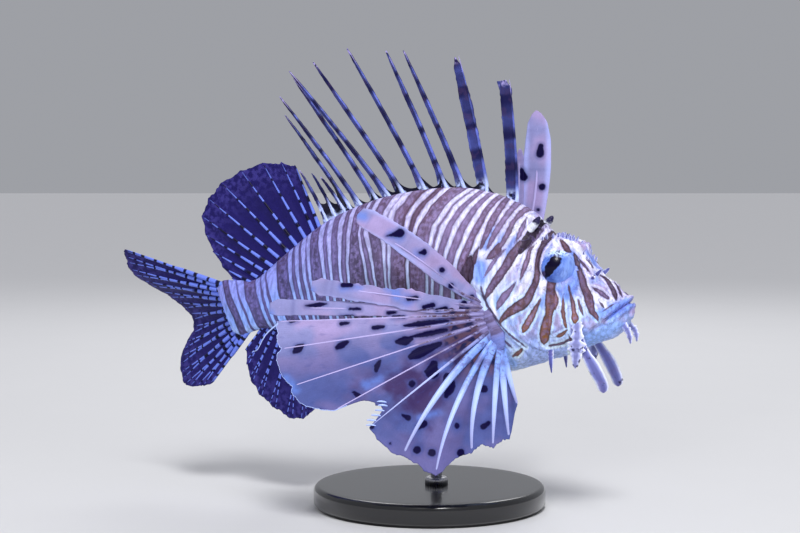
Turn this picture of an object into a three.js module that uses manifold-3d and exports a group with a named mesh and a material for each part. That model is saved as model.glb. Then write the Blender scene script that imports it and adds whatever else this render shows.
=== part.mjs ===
// A life-size red lionfish with its fins spread, held up by a plain display stand.
// Millimetres. +X to the snout, +Z up, the fish's right side at -Y,
// origin at the centre of the underside of the stand's base.

import * as THREE from "three";
import { mergeVertices } from "three/addons/utils/BufferGeometryUtils.js";
import Module from "manifold-3d";

const wasm = await Module();
wasm.setup();

// Driving dimensions
const gap = 0.3; // between two nodes that touch
const finSkin = 0.6; // thickness of a fin's membrane
const baseRadius = 62;
const baseHeight = 12;
const rodRadius = 3;
const rodX = 4;
const eyeRadius = 10.2;
const eyeX = 72;
const eyeZ = 130.6;
const eyeDepth = 5.6; // from the skin at the eye's middle in to the eyeball's centre
const orbitRadius = 9.8; // of the bony ring round the eye
const orbitRim = 1.4;

// Stations along the body: back x, back z, belly x, belly z, half width
const bodyStations = [
  [110.2, 110.6, 109.6, 103.6, 2.6], // lips
  [108.6, 114.8, 107.0, 98.6, 6.6],
  [102.0, 120.4, 101.0, 94.0, 10.6], // nostrils
  [94.0, 126.8, 93.0, 91.0, 13.8],
  [87.5, 136.6, 86.5, 88.0, 16.0], // brow
  [79.0, 143.0, 79.0, 84.6, 18.0], // eyes
  [69.0, 146.4, 69.0, 82.0, 19.8],
  [58.0, 156.6, 58.0, 78.6, 21.8], // nape
  [40.0, 166.2, 41.0, 73.6, 23.4], // pectoral fins
  [18.0, 170.4, 20.0, 71.8, 22.4],
  [-8.0, 168.6, -6.0, 73.6, 19.4],
  [-34.0, 162.8, -32.0, 79.0, 15.8],
  [-60.0, 151.6, -58.0, 85.4, 12.0],
  [-84.0, 134.2, -80.0, 90.6, 8.4], // end of the soft dorsal fin
  [-102.0, 119.8, -96.0, 92.2, 6.2],
  [-113.0, 118.4, -104.5, 90.2, 5.4], // tail stock
  [-123.3, 118.2, -111.5, 87.8, 4.0],
  [-128.0, 114.6, -117.6, 89.4, 1.0],
];
const squareness = 0.92; // 1 is an ellipse, less is squarer
const keel = 0.3; // how much narrower the section is at the back than at the belly
const bodyRing = 28; // points round the body
const rowsAhead = 3; // rings to a station on the head
const rowsBehind = 2; // rings to a station behind it
const headStations = 7;

// Swellings and hollows of the head: x, z, radius, push out
const headRelief = [
  [eyeX + 3, eyeZ + 7, 9, 3.0], // brow
  [eyeX, eyeZ - 3, 10, 2.0], // orbit
  [93, 121, 6, 1.0], // nasal bone
  [86, 113, 8, -1.4], // hollow of the cheek
  [72, 104, 9, 1.2], // bony cheek
];
const gillCoverRise = 0.9; // the gill cover stands proud of the trunk by this

// Rear edge of the gill cover, from nape to throat, in x and z
const gillEdge = [
  [52, 190],
  [50, 150],
  [41, 139],
  [32, 130],
  [31, 122],
  [38, 116],
  [42, 108],
  [47, 99],
  [55, 90],
  [60, 60],
];
// Slit of the mouth and the lower jaw's rear edge
const mouthLine = [
  [125, 117],
  [110, 113],
  [104.5, 107.5],
  [97, 102],
  [92, 99],
  [88, 93],
  [84, 70],
];
const tailCut = [
  [-106, 150],
  [-97, 60],
];

// Small helpers

function vec(x, y, z) {
  return new THREE.Vector3(x, y, z);
}

function degrees(angle) {
  return (angle * Math.PI) / 180;
}

// Smooth interpolation between rows of numbers, at a fractional row
function along(rows, at) {
  const last = rows.length - 1;
  const i = Math.min(Math.max(Math.floor(at), 0), last - 1);
  const t = at - i;
  const [a, b, c, d] = [Math.max(i - 1, 0), i, i + 1, Math.min(i + 2, last)].map((n) => rows[n]);
  return b.map((_, n) => {
    const slopeB = (c[n] - a[n]) / 2;
    const slopeC = (d[n] - b[n]) / 2;
    const rise = c[n] - b[n];
    const bend = 3 * rise - 2 * slopeB - slopeC;
    return b[n] + t * slopeB + t * t * bend + t ** 3 * (slopeB + slopeC - 2 * rise);
  });
}

function smooth(from, to, x) {
  return THREE.MathUtils.smoothstep(x, from, to);
}

function geometryOf(positions, triangles) {
  const geometry = new THREE.BufferGeometry();
  geometry.setAttribute("position", new THREE.Float32BufferAttribute(positions, 3));
  geometry.setIndex(triangles);
  return geometry;
}

function solid(geometry) {
  const bare = geometry.clone();
  bare.deleteAttribute("normal");
  bare.deleteAttribute("uv");
  const merged = mergeVertices(bare, 1e-4);
  return new wasm.Manifold(
    new wasm.Mesh({
      numProp: 3,
      vertProperties: new Float32Array(merged.attributes.position.array),
      triVerts: new Uint32Array(merged.index.array),
    }),
  );
}

// The largest closed surface of a solid, without sealed hollows and loose scraps
function largest(made) {
  return made.decompose().reduce((best, piece) => (piece.volume() > best.volume() ? piece : best));
}

function meshOf(name, made, material) {
  const { vertProperties, triVerts } = largest(made).getMesh();
  const geometry = geometryOf(Array.from(vertProperties), Array.from(triVerts)).toNonIndexed();
  geometry.computeVertexNormals();
  const mesh = new THREE.Mesh(geometry, material);
  mesh.name = name;
  return mesh;
}

// An outline in x and z, made into a slab from one side of the fish to the other
function slab(outline, halfWidth = 60) {
  const shape = new THREE.Shape(outline.map(([x, z]) => new THREE.Vector2(x, z)));
  const geometry = new THREE.ExtrudeGeometry(shape, { depth: 2 * halfWidth, bevelEnabled: false });
  geometry.rotateX(Math.PI / 2);
  geometry.translate(0, halfWidth, 0);
  return solid(geometry);
}

// A piece along a path, with a radius at each point and closed ends.
// thin below 1 makes it flat, like a leaf whose broad side faces the fish's side.
function tapered(path, radii, sides = 6, thin = 1) {
  const positions = [];
  const triangles = [];
  path.forEach((point, i) => {
    const onward = path[Math.min(i + 1, path.length - 1)].clone().sub(path[Math.max(i - 1, 0)]).normalize();
    const across = vec(0, 1, 0).cross(onward).normalize();
    if (across.length() < 0.5) across.set(1, 0, 0);
    const over = onward.clone().cross(across).normalize();
    for (let n = 0; n < sides; n++) {
      const angle = (2 * Math.PI * n) / sides;
      const place = point.clone().addScaledVector(across, Math.cos(angle) * radii[i]);
      place.addScaledVector(over, Math.sin(angle) * radii[i] * thin);
      positions.push(...place.toArray());
    }
  });
  const ring = (i, n) => i * sides + (n % sides);
  for (let i = 0; i + 1 < path.length; i++) {
    for (let n = 0; n < sides; n++) {
      triangles.push(ring(i, n), ring(i, n + 1), ring(i + 1, n + 1));
      triangles.push(ring(i, n), ring(i + 1, n + 1), ring(i + 1, n));
    }
  }
  const first = positions.length / 3;
  positions.push(...path[0].toArray(), ...path[path.length - 1].toArray());
  for (let n = 0; n < sides; n++) {
    triangles.push(first, ring(0, n + 1), ring(0, n));
    triangles.push(first + 1, ring(path.length - 1, n), ring(path.length - 1, n + 1));
  }
  return solid(geometryOf(positions, triangles));
}

function joined(pieces) {
  return pieces.reduce((all, piece) => all.add(piece));
}

// Body

// A point of the skin: a station number, and an angle from the back round by the left side
function bodyPoint(station, angle) {
  const [backX, backZ, bellyX, bellyZ, half] = along(bodyStations, station);
  const up = Math.cos(angle);
  const side = Math.sin(angle);
  const height = (1 + Math.sign(up) * Math.abs(up) ** squareness) / 2;
  const narrow = 1 - keel * Math.max(0, up) ** 2;
  const x = bellyX + (backX - bellyX) * height;
  const z = bellyZ + (backZ - bellyZ) * height;
  const push = headRelief.reduce((sum, [rx, rz, radius, amount]) => {
    const near = Math.exp(-((x - rx) ** 2 + (z - rz) ** 2) / radius ** 2);
    return sum + amount * near * Math.abs(side);
  }, 0);
  const y = Math.sign(side) * half * narrow * Math.abs(side) ** squareness;
  return vec(x, y + push * side, z + push * Math.max(0, up));
}

// Half width of the body at a place seen from the side
function flank(x, z) {
  let from = 0;
  let to = bodyStations.length - 1;
  for (let turn = 0; turn < 30; turn++) {
    const middle = (from + to) / 2;
    const [backX, backZ, bellyX, bellyZ] = along(bodyStations, middle);
    const lineX = bellyX + ((backX - bellyX) * (z - bellyZ)) / (backZ - bellyZ);
    if (lineX > x) from = middle;
    else to = middle;
  }
  const [, backZ, , bellyZ] = along(bodyStations, from);
  const height = THREE.MathUtils.clamp((2 * (z - bellyZ)) / (backZ - bellyZ) - 1, -1, 1);
  const up = Math.sign(height) * Math.abs(height) ** (1 / squareness);
  return bodyPoint(from, Math.acos(up)).y;
}

// The whole body, swollen by an amount that may depend on the place
function bodySolid(swell) {
  const stations = [];
  for (let s = 0; s < bodyStations.length - 1; s++) {
    const rows = s < headStations ? rowsAhead : rowsBehind;
    for (let n = 0; n < rows; n++) stations.push(s + n / rows);
  }
  stations.push(bodyStations.length - 1);
  const positions = [];
  const triangles = [];
  stations.forEach((station) => {
    for (let n = 0; n < bodyRing; n++) {
      positions.push(...bodyPoint(station, (2 * Math.PI * n) / bodyRing).toArray());
    }
  });
  const ring = (i, n) => i * bodyRing + (n % bodyRing);
  const rings = stations.length;
  for (let i = 0; i + 1 < rings; i++) {
    for (let n = 0; n < bodyRing; n++) {
      triangles.push(ring(i, n), ring(i, n + 1), ring(i + 1, n + 1));
      triangles.push(ring(i, n), ring(i + 1, n + 1), ring(i + 1, n));
    }
  }
  for (const [end, i] of [[0, 0], [1, rings - 1]]) {
    const [backX, backZ, bellyX, bellyZ] = along(bodyStations, stations[i]);
    const middle = positions.length / 3;
    positions.push((backX + bellyX) / 2 + (end ? -0.6 : 0.6), 0, (backZ + bellyZ) / 2);
    for (let n = 0; n < bodyRing; n++) {
      if (end) triangles.push(middle, ring(i, n), ring(i, n + 1));
      else triangles.push(middle, ring(i, n + 1), ring(i, n));
    }
  }
  const geometry = geometryOf(positions, triangles);
  geometry.computeVertexNormals();
  const place = geometry.attributes.position;
  const normal = geometry.attributes.normal;
  for (let i = 0; i < place.count; i++) {
    const amount = swell(place.getX(i), place.getZ(i));
    place.setXYZ(
      i,
      place.getX(i) + amount * normal.getX(i),
      place.getY(i) + amount * normal.getY(i),
      place.getZ(i) + amount * normal.getZ(i),
    );
  }
  return solid(geometry);
}

function headSwell(x) {
  return gillCoverRise * (1 - smooth(50, 78, x));
}

// Everything ahead of an edge, or behind it, as a slab
function ahead(edge, shift = 0) {
  const line = edge.map(([x, z]) => [x + shift, z]);
  return slab([...line, [200, line[line.length - 1][1]], [200, line[0][1]]]);
}

function behind(edge, shift = 0) {
  const line = edge.map(([x, z]) => [x + shift, z]);
  return slab([...line, [-250, line[line.length - 1][1]], [-250, line[0][1]]]);
}

const wideGillEdge = [[52, 260], ...gillEdge, [60, -20]];
const wideTailCut = [[-110, 190], ...tailCut, [-90, -10]];

const plainBody = bodySolid(() => 0);
const clearOfBody = bodySolid(() => gap)
  .add(bodySolid((x) => headSwell(x) + gap).intersect(ahead(wideGillEdge, -gap)));

// Fins

// A thin solid from a grid of points with a thickness each. Both faces have the same triangles.
// kept(column, row) says which cells of the grid are there.
function sheet(columns, kept) {
  const rows = columns[0].length;
  const positions = [];
  const triangles = [];
  const clamp = THREE.MathUtils.clamp;
  const at = (c, r) => columns[clamp(c, 0, columns.length - 1)][clamp(r, 0, rows - 1)];
  columns.forEach((column, c) => {
    column.forEach(({ point, thick }, r) => {
      const over = at(c + 1, r).point.clone().sub(at(c - 1, r).point);
      const out = at(c, r + 1).point.clone().sub(at(c, r - 1).point);
      const normal = over.cross(out).normalize();
      positions.push(...point.clone().addScaledVector(normal, thick / 2).toArray());
      positions.push(...point.clone().addScaledVector(normal, -thick / 2).toArray());
    });
  });
  const front = (c, r) => 2 * (c * rows + r);
  const there = (c, r) => c >= 0 && r >= 0 && c < columns.length - 1 && r < rows - 1 && kept(c, r);
  for (let c = 0; c < columns.length - 1; c++) {
    for (let r = 0; r < rows - 1; r++) {
      if (!there(c, r)) continue;
      const corners = [front(c, r), front(c + 1, r), front(c + 1, r + 1), front(c, r + 1)];
      const [p, q, s, t] = corners;
      triangles.push(p, q, s, p, s, t, p + 1, s + 1, q + 1, p + 1, t + 1, s + 1);
      const beyond = [there(c, r - 1), there(c + 1, r), there(c, r + 1), there(c - 1, r)];
      corners.forEach((from, n) => {
        const to = corners[(n + 1) % 4];
        if (!beyond[n]) triangles.push(to, from, from + 1, to, from + 1, to + 1);
      });
    }
  }
  return solid(geometryOf(positions, triangles));
}

// Rows across a fin, as parts of a ray's length
const shortRows = [0, 0.3, 0.8, 0.94, 1];
const longRows = [0, 0.12, 0.3, 0.55, 0.85, 1];
const spineRows = [0, 0.12, 0.2, 0.45, 0.8, 1];

// A fin of rays. Each ray is { root, tip, bow, before, after, open, thick, web, edge }:
// bow moves the ray's middle, before and after are the widths of its own skin on either side and
// open is where that skin reaches them, thick is the ray's thickness at its root,
// web is how far out the membrane joins it to the next ray,
// and edge is how far the membrane's rim stands out between them, or in where it is negative.
function rayFin(rays, rows) {
  const last = rows.length - 1;
  const lines = rays.map(({ root, tip, bow }) => {
    const control = root.clone().add(tip).multiplyScalar(0.5).add(bow);
    const curve = new THREE.QuadraticBezierCurve3(root, control, tip);
    return rows.map((t) => curve.getPoint(t));
  });
  const onwards = lines.map((line) =>
    line.map((_, r) => line[Math.min(r + 1, last)].clone().sub(line[Math.max(r - 1, 0)]).normalize()),
  );
  const ridges = rays.map((ray, k) => {
    const previous = lines[Math.max(k - 1, 0)];
    const next = lines[Math.min(k + 1, rays.length - 1)];
    return rows.map((t, r) => {
      const point = lines[k][r];
      const across = next[r].clone().sub(previous[r]);
      across.addScaledVector(onwards[k][r], -across.dot(onwards[k][r])).normalize();
      const open = smooth(ray.open, ray.open + 0.3, t);
      const end = Math.sqrt(1 - 0.9 * Math.max(0, (t - 0.8) / 0.2) ** 2);
      const width = (most, other) => {
        const room = other === lines[k] ? Infinity : 0.4 * other[r].distanceTo(point);
        return Math.min(0.5 + (most - 0.5) * open * end, room);
      };
      const skinThick = finSkin * (1 - 0.35 * t);
      return [
        { point: point.clone().addScaledVector(across, -width(ray.before, previous)), thick: skinThick },
        { point, thick: finSkin + (ray.thick - finSkin) * (1 - 0.85 * t) },
        { point: point.clone().addScaledVector(across, width(ray.after, next)), thick: skinThick },
      ];
    });
  });
  const columns = [];
  rays.forEach((ray, k) => {
    for (const part of [0, 1, 2]) columns.push(ridges[k].map((row) => row[part]));
    if (k === rays.length - 1) return;
    const between = rows.map((t, r) => {
      const [, , { point, thick }] = ridges[k][r];
      const middle = point.clone().lerp(ridges[k + 1][r][0].point, 0.5);
      const onward = onwards[k][r].clone().add(onwards[k + 1][r]).normalize();
      return { point: middle.addScaledVector(onward, ray.edge * smooth(0.5 * ray.web, ray.web, t)), thick };
    });
    columns.push(between);
  });
  const kept = (c, r) => c % 4 < 2 || rows[r + 1] <= rays[Math.floor(c / 4)].web + 1e-6;
  return sheet(columns, kept);
}

// Points at even steps of a smooth line through a few given ones
function spread(points, count) {
  const curve = new THREE.CatmullRomCurve3(points.map(([x, y, z]) => vec(x, y, z)));
  return Array.from({ length: count }, (_, i) => curve.getPoint(i / (count - 1)));
}

// A median fin between a line of roots and a line of tips
function medianFin(rootLine, tipLine, count, thick, edge) {
  const roots = spread(rootLine, count);
  const tips = spread(tipLine, count);
  const rays = roots.map((root, k) => ({
    root,
    tip: tips[k],
    bow: vec(0, 0, 0),
    before: 0.9,
    after: 0.9,
    open: 0,
    thick,
    web: 1,
    edge,
  }));
  return rayFin(rays, shortRows).subtract(clearOfBody);
}

// Spines of the dorsal fin, front to back: root x, root z, tip x, tip z, skin before, skin behind
const dorsalSpines = [
  [46, 158, 42.4, 226, 3.3, 3.3],
  [32, 164, 13.4, 239, 2.6, 3.6],
  [23, 165, -14, 243, 0.9, 2.4],
  [13, 165, -26, 243.5, 0.9, 2.4],
  [2, 164, -46.6, 245, 0.9, 2.2],
  [-10, 163, -69, 238.5, 0.9, 2.2],
  [-17, 161, -81.2, 233.6, 0.9, 2],
  [-25, 159, -81, 230, 0.9, 2],
  [-34, 156, -87, 219.8, 0.9, 1.8],
  [-41, 155, -86.3, 210, 0.9, 1.8],
  [-47, 156, -62.5, 176, 0.8, 1.4],
  [-53, 153, -70, 178, 0.8, 1.4],
  [-58, 150.6, -75, 179.6, 0.8, 1.4],
];
const longSpines = 10;

function spinyDorsalFin() {
  const rays = dorsalSpines.map(([rootX, rootZ, tipX, tipZ, before, after], k) => ({
    root: vec(rootX, 0, rootZ),
    tip: vec(tipX, k % 2 ? 2.5 : -2.5, tipZ),
    bow: vec(2, 0, 1),
    before,
    after,
    open: 0.1,
    thick: 2.4,
    web: k < longSpines ? 0.2 : 0.45,
    edge: -3,
  }));
  return rayFin(rays, spineRows).subtract(clearOfBody);
}

function softDorsalFin() {
  const rootLine = [[-62, 0, 145], [-76, 0, 135], [-90, 0, 123], [-102, 0, 114.5]];
  const tipLine = [
    [-79, 0, 182.5],
    [-99, 0, 184],
    [-125, 0, 173],
    [-137, 0, 154],
    [-130, 0, 134],
    [-118.5, 0, 119.4],
  ];
  return medianFin(rootLine, tipLine, 11, 1.8, -2);
}

function analFin() {
  const rootLine = [[-58, 0, 90], [-78, 0, 95], [-94, 0, 96]];
  const tipLine = [
    [-56, 0, 68],
    [-66, 0, 50],
    [-79, 0, 41.5],
    [-97, 0, 51],
    [-107.6, 0, 64],
    [-110, 0, 80],
  ];
  return medianFin(rootLine, tipLine, 10, 1.8, -1.5);
}

function caudalFin() {
  const rootLine = [[-120, 0, 114], [-113, 0, 102], [-109, 0, 91.5]];
  const tipLine = [
    [-187, 0, 134.5],
    [-186, 8, 120],
    [-166, 17, 106],
    [-153, 20, 92],
    [-160, 17, 73],
    [-152, 8, 57.5],
    [-131, 0, 60],
  ];
  return medianFin(rootLine, tipLine, 14, 2.2, 0.5);
}

// Pectoral fins, one row for each ray from the top one down: reach, turn, out, width, web, edge.
// turn is the angle above straight back, out is the angle away from the fish's side, width is that
// of a ray's own skin on either side, and web and edge are as in rayFin.
const rightPectoral = [
  [78, 36, 13, 4.8, 0.12, 0],
  [87, 8, 21, 4.4, 0.3, 0],
  [111, 1, 21, 4.0, 0.55, 0],
  [108, -2, 24, 0.9, 1, 0.5],
  [108, -9, 29, 0.9, 1, 3],
  [107, -20, 33, 0.9, 1, 6],
  [95, -33, 40, 1.2, 0.85, 0],
  [87, -46, 43, 1.0, 1, 2],
  [86, -64, 42, 1.0, 1, -2],
  [86, -79, 40, 1.0, 1, -4],
  [72, -94, 44, 1.0, 1, -3],
  [67, -104, 43, 1.0, 1, -3],
  [61, -113, 42, 1.0, 1, -3],
  [44, -126, 46, 1.0, 1, 0],
];
// On the left the two top rays stand up and the others trail back along the body
const trailingRays = Array.from({ length: 12 }, (_, k) => {
  const web = k < 2 ? 0.85 : 1;
  return [96 - 4.6 * k, 14 - 5.4 * k, 27 + 1.1 * k, 1, web, -3];
});
const leftPectoral = [[104, 93, 16, 7.4, 0.55, 0], [84, 88, 15.5, 3.2, 0.12, 0], ...trailingRays];
const rightTopBow = [0, 9]; // how far the middle of the top ray is moved, ahead and up
const leftTopBow = [10, 0];
const pectoralTop = [38, 111];
const pectoralLow = [47, 88];

function pectoralFin(side, table, topBow) {
  const root = (k) => {
    const part = k / (table.length - 1);
    const x = pectoralTop[0] + (pectoralLow[0] - pectoralTop[0]) * part;
    const z = pectoralTop[1] + (pectoralLow[1] - pectoralTop[1]) * part;
    return vec(x, side * (flank(x, z) - 1), z);
  };
  const rays = table.map(([reach, turn, out, width, web, edge], k) => {
    const flat = reach * Math.cos(degrees(out));
    const away = vec(
      -flat * Math.cos(degrees(turn)),
      side * reach * Math.sin(degrees(out)),
      flat * Math.sin(degrees(turn)),
    );
    return {
      root: root(k),
      tip: root(k).add(away),
      bow: k ? vec(0, side * 4, 0) : vec(topBow[0], side * 4, topBow[1]),
      before: width,
      after: width,
      open: k ? 0.2 : 0.1,
      thick: 2.2,
      web,
      edge,
    };
  });
  const middle = root((table.length - 1) / 2);
  const lobe = new THREE.SphereGeometry(1, 12, 8);
  lobe.scale(5.5, 4.4, 14.5);
  lobe.rotateY(Math.atan2(pectoralTop[0] - pectoralLow[0], pectoralTop[1] - pectoralLow[1]));
  lobe.translate(middle.x, middle.y + side * 1.2, middle.z);
  return rayFin(rays, longRows).add(solid(lobe)).subtract(clearOfBody);
}

function pelvicFin(side) {
  const rays = Array.from({ length: 6 }, (_, k) => {
    const part = k / 5;
    return {
      root: vec(38 - 2 * part, side * (10.5 - 6.5 * part), 77.5 + 1.5 * part),
      tip: vec(-18 - 16 * part, side * (28 - 18 * part), 66 + 4 * part),
      bow: vec(0, side * 2, -3),
      before: 0.9,
      after: 0.9,
      open: 0,
      thick: 2,
      web: 1,
      edge: -3,
    };
  });
  return rayFin(rays, longRows).subtract(clearOfBody);
}

// Head

const eyeY = flank(eyeX, eyeZ) - eyeDepth;

function eyeball(side, radius) {
  const ball = new THREE.SphereGeometry(radius, 18, 10);
  ball.rotateX(Math.PI / 2);
  ball.translate(eyeX, side * eyeY, eyeZ);
  return solid(ball);
}

const lipRadius = 1.5;
const mouthCorner = [97.5, 102.4];
const mouthFront = [110.4, 113];
const snoutEnd = 109.6; // as far ahead as the sides of the body go

// A lip as a tube round the front of the snout, above the slit of the mouth or below it
function lip(offset) {
  const steps = 8;
  const halfway = Array.from({ length: steps + 1 }, (_, i) => {
    const part = i / steps;
    const x = mouthCorner[0] + (mouthFront[0] - mouthCorner[0]) * part - 0.45 * offset;
    const z = mouthCorner[1] + (mouthFront[1] - mouthCorner[1]) * part + offset;
    const halfWidth = Math.max(flank(Math.min(x, snoutEnd), z) - 0.2, 0);
    return vec(x, part < 1 ? halfWidth * Math.sqrt(1 - part ** 6) : 0, z);
  });
  const other = halfway.slice(0, -1).map((p) => vec(p.x, -p.y, p.z)).reverse();
  const line = new THREE.CatmullRomCurve3([...halfway, ...other]);
  const round = new THREE.Shape().absarc(0, 0, lipRadius, 0, 2 * Math.PI);
  return solid(new THREE.ExtrudeGeometry(round, { steps: 16, curveSegments: 6, extrudePath: line }));
}

// Growths of the head and jaw, from root to tip: x, z, out from the skin, radius
const browSpines = [[71, 146], [76, 145.5], [81, 143], [86, 137.6]];
const napeSpine = [[58, 148, -2, 2.2], [63.5, 154.5, -0.6, 1.4], [66.5, 158.4, 0, 0.3]];
const nostril = [[91.8, 124.2, -2, 1.8], [93.2, 126.6, 0.4, 1.3]];
const nasalTentacle = [[92.5, 126, -2, 1.4], [95.8, 128.4, 0.6, 0.9], [99.6, 130, 1.2, 0.3]];
const leafTentacle = [
  [85.5, 95.5, -3, 2.2],
  [88.5, 88.5, 1.6, 2.6],
  [93.5, 79, 2.4, 3.1],
  [97.5, 70.5, 2, 2.6],
  [98.6, 66.4, 2, 1],
];
const cheekFlap = [[84, 103, -2, 2], [84.6, 95, 0.8, 2.4], [84, 86, 1.4, 1.9], [83.6, 78.4, 1.2, 0.4]];
const cheekSpine = [[70.5, 88.5, -2, 1.8], [71.4, 82.4, 0.6, 1.3], [71.9, 75.8, 1, 0.3]];
const barbel = [
  [106.6, 101.6, -2.4, 1.8],
  [109.6, 98.4, 0.2, 1.7],
  [110.9, 95, 0.6, 1.4],
  [111.2, 91.6, 0.4, 0.4],
];

function growth(side, places, thin = 1) {
  const [rootX, rootZ] = places[0];
  const y = flank(rootX, rootZ);
  const path = places.map(([x, z, out]) => vec(x, side * (y + out), z));
  return tapered(path, places.map(([, , , radius]) => radius), 5, thin);
}

function browSpine(side, [x, z]) {
  return growth(side, [[x - 1, z - 3, -1, 1.8], [x + 0.4, z + 0.4, 0.2, 1], [x + 1, z + 1.8, 0.4, 0.3]]);
}

function headGrowths(side) {
  return joined([
    ...browSpines.map((place) => browSpine(side, place)),
    growth(side, napeSpine),
    growth(side, nostril),
    growth(side, nasalTentacle, 0.6),
    growth(side, leafTentacle, 0.35),
    growth(side, cheekFlap, 0.5),
    growth(side, cheekSpine, 0.8),
  ]);
}

function chinBarbel(side) {
  return growth(side, barbel, 0.5);
}

// Everything below and ahead of the slit of the mouth, or that grown upwards and back by the gap
function lowerJawRegion(grow = 0) {
  const line = mouthLine.map(([x, z]) => [x - grow, z + grow]);
  return slab([...line, [125, 70]]);
}

// The bony ring round an eye, laid on the skin
function orbit(side) {
  const places = Array.from({ length: 12 }, (_, i) => {
    const x = eyeX + 1 + orbitRadius * Math.cos((Math.PI * i) / 6);
    const z = eyeZ + 1 + orbitRadius * Math.sin((Math.PI * i) / 6);
    return vec(x, side * (flank(x, z) - 0.3), z);
  });
  const line = new THREE.CatmullRomCurve3(places, true);
  return solid(new THREE.TubeGeometry(line, 18, orbitRim, 6, true));
}

function headAndJaw() {
  const bare = bodySolid(headSwell).intersect(ahead(wideGillEdge));
  const lipped = joined([bare, lip(lipRadius + 0.2), lip(-lipRadius - 0.2), orbit(1), orbit(-1)]);
  const nearJaw = clearOfBody.intersect(lowerJawRegion(gap));
  const growths = joined([1, -1].map(headGrowths)).subtract(nearJaw);
  const sockets = joined([1, -1].map((side) => eyeball(side, eyeRadius + gap)));
  return {
    head: lipped.subtract(lowerJawRegion(gap)).add(growths).subtract(sockets),
    jaw: joined([lipped.intersect(lowerJawRegion()), ...[1, -1].map(chinBarbel)]),
  };
}

// Stand

function standBase() {
  const profile = [
    [0, 0],
    [baseRadius, 0],
    [baseRadius, baseHeight - 3],
    [baseRadius - 3, baseHeight],
    [0, baseHeight],
  ].map(([r, z]) => new THREE.Vector2(r, z));
  const geometry = new THREE.LatheGeometry(profile, 48);
  geometry.rotateX(Math.PI / 2);
  return solid(geometry);
}

function standRod() {
  const path = [vec(rodX, 0, baseHeight + gap), vec(rodX, 0, 80)];
  return tapered(path, [rodRadius, rodRadius], 12).subtract(clearOfBody);
}

// Materials

function material(colour, roughness, metalness = 0) {
  return new THREE.MeshStandardMaterial({ color: colour, roughness, metalness, flatShading: true });
}

const skin = material(0xb9a6c0, 0.5);
const paleFin = material(0xd6bfd6, 0.5);
const darkFin = material(0x3d3f86, 0.5);
const eye = material(0x20283c, 0.1);
const baseFinish = material(0x26262a, 0.4);
const steel = material(0xb8bcc0, 0.3, 1);

const lionfish = new THREE.Group();
const { head, jaw } = headAndJaw();
lionfish.add(
  meshOf("head", head, skin),
  meshOf("lower_jaw", jaw, skin),
  meshOf("eye_right", eyeball(-1, eyeRadius), eye),
  meshOf("eye_left", eyeball(1, eyeRadius), eye),
  meshOf("trunk", plainBody.intersect(behind(wideGillEdge, -gap)).intersect(ahead(wideTailCut)), skin),
  meshOf("tail_stock", plainBody.intersect(behind(wideTailCut, -gap)), skin),
  meshOf("spiny_dorsal_fin", spinyDorsalFin(), darkFin),
  meshOf("soft_dorsal_fin", softDorsalFin(), darkFin),
  meshOf("caudal_fin", caudalFin(), darkFin),
  meshOf("anal_fin", analFin(), darkFin),
  meshOf("pectoral_fin_right", pectoralFin(-1, rightPectoral, rightTopBow), paleFin),
  meshOf("pectoral_fin_left", pectoralFin(1, leftPectoral, leftTopBow), paleFin),
  meshOf("pelvic_fin_right", pelvicFin(-1), darkFin),
  meshOf("pelvic_fin_left", pelvicFin(1), darkFin),
  meshOf("stand_base", standBase(), baseFinish),
  meshOf("stand_rod", standRod(), steel),
);

export default lionfish;
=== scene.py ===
# A life-size red lionfish with its fins spread, held up by a black lacquered stand.
# Lengths are millimetres until buildMesh turns them into metres. +X is ahead, +Z is up,
# and the fish's right side, which the camera sees, is at -Y.
import math
import bmesh
import bpy
import numpy as np
from mathutils import Matrix, Vector


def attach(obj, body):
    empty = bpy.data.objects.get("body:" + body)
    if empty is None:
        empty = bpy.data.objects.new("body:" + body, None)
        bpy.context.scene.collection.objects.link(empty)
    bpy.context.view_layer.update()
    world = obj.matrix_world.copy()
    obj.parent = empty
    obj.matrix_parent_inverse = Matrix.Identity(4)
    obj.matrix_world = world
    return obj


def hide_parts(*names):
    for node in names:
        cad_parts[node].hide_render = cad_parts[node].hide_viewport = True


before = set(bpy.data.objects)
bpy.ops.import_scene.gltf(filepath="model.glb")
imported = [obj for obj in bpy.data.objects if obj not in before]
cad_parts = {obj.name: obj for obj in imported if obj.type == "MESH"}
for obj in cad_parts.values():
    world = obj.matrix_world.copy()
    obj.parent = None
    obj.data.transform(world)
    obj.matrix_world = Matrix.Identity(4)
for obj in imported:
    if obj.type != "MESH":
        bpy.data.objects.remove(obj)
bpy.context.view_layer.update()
print("frame loaded,", len(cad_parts), "nodes")

mm = 0.001


# camera

cameraPlan = {
    "azimuth": 22.0,  # degrees round from square on to the fish's right side, towards its head
    "elevation": 3.0,
    "distance": 900.0,
    "target": (-17.0, 0.0, 128.0),
    "pixelSize": 0.536,  # what one pixel of the photograph spans at the target
    "frameSize": (800, 533),
    "sensor": 36.0,
}


def cameraAxes():
    turn = math.radians(cameraPlan["azimuth"])
    lift = math.radians(cameraPlan["elevation"])
    back = np.array([math.sin(turn) * math.cos(lift), -math.cos(turn) * math.cos(lift), math.sin(lift)])
    right = np.array([math.cos(turn), math.sin(turn), 0.0])
    return right, np.cross(back, right), back


cameraRight, cameraUp, cameraBack = cameraAxes()
cameraPlace = np.array(cameraPlan["target"]) + cameraBack * cameraPlan["distance"]
focalPixels = cameraPlan["distance"] / cameraPlan["pixelSize"]


# where points show in the photograph's frame
def inPicture(points):
    away = points - cameraPlace
    scale = focalPixels / -(away @ cameraBack)
    width, height = cameraPlan["frameSize"]
    return np.stack([width / 2 + (away @ cameraRight) * scale, height / 2 - (away @ cameraUp) * scale], -1)


# where they show on the fish's right side, which the left side mirrors
def inRightSide(points):
    return inPicture(points * np.where(points[..., 1:2] > 0, (1, -1, 1), (1, 1, 1)))


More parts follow.
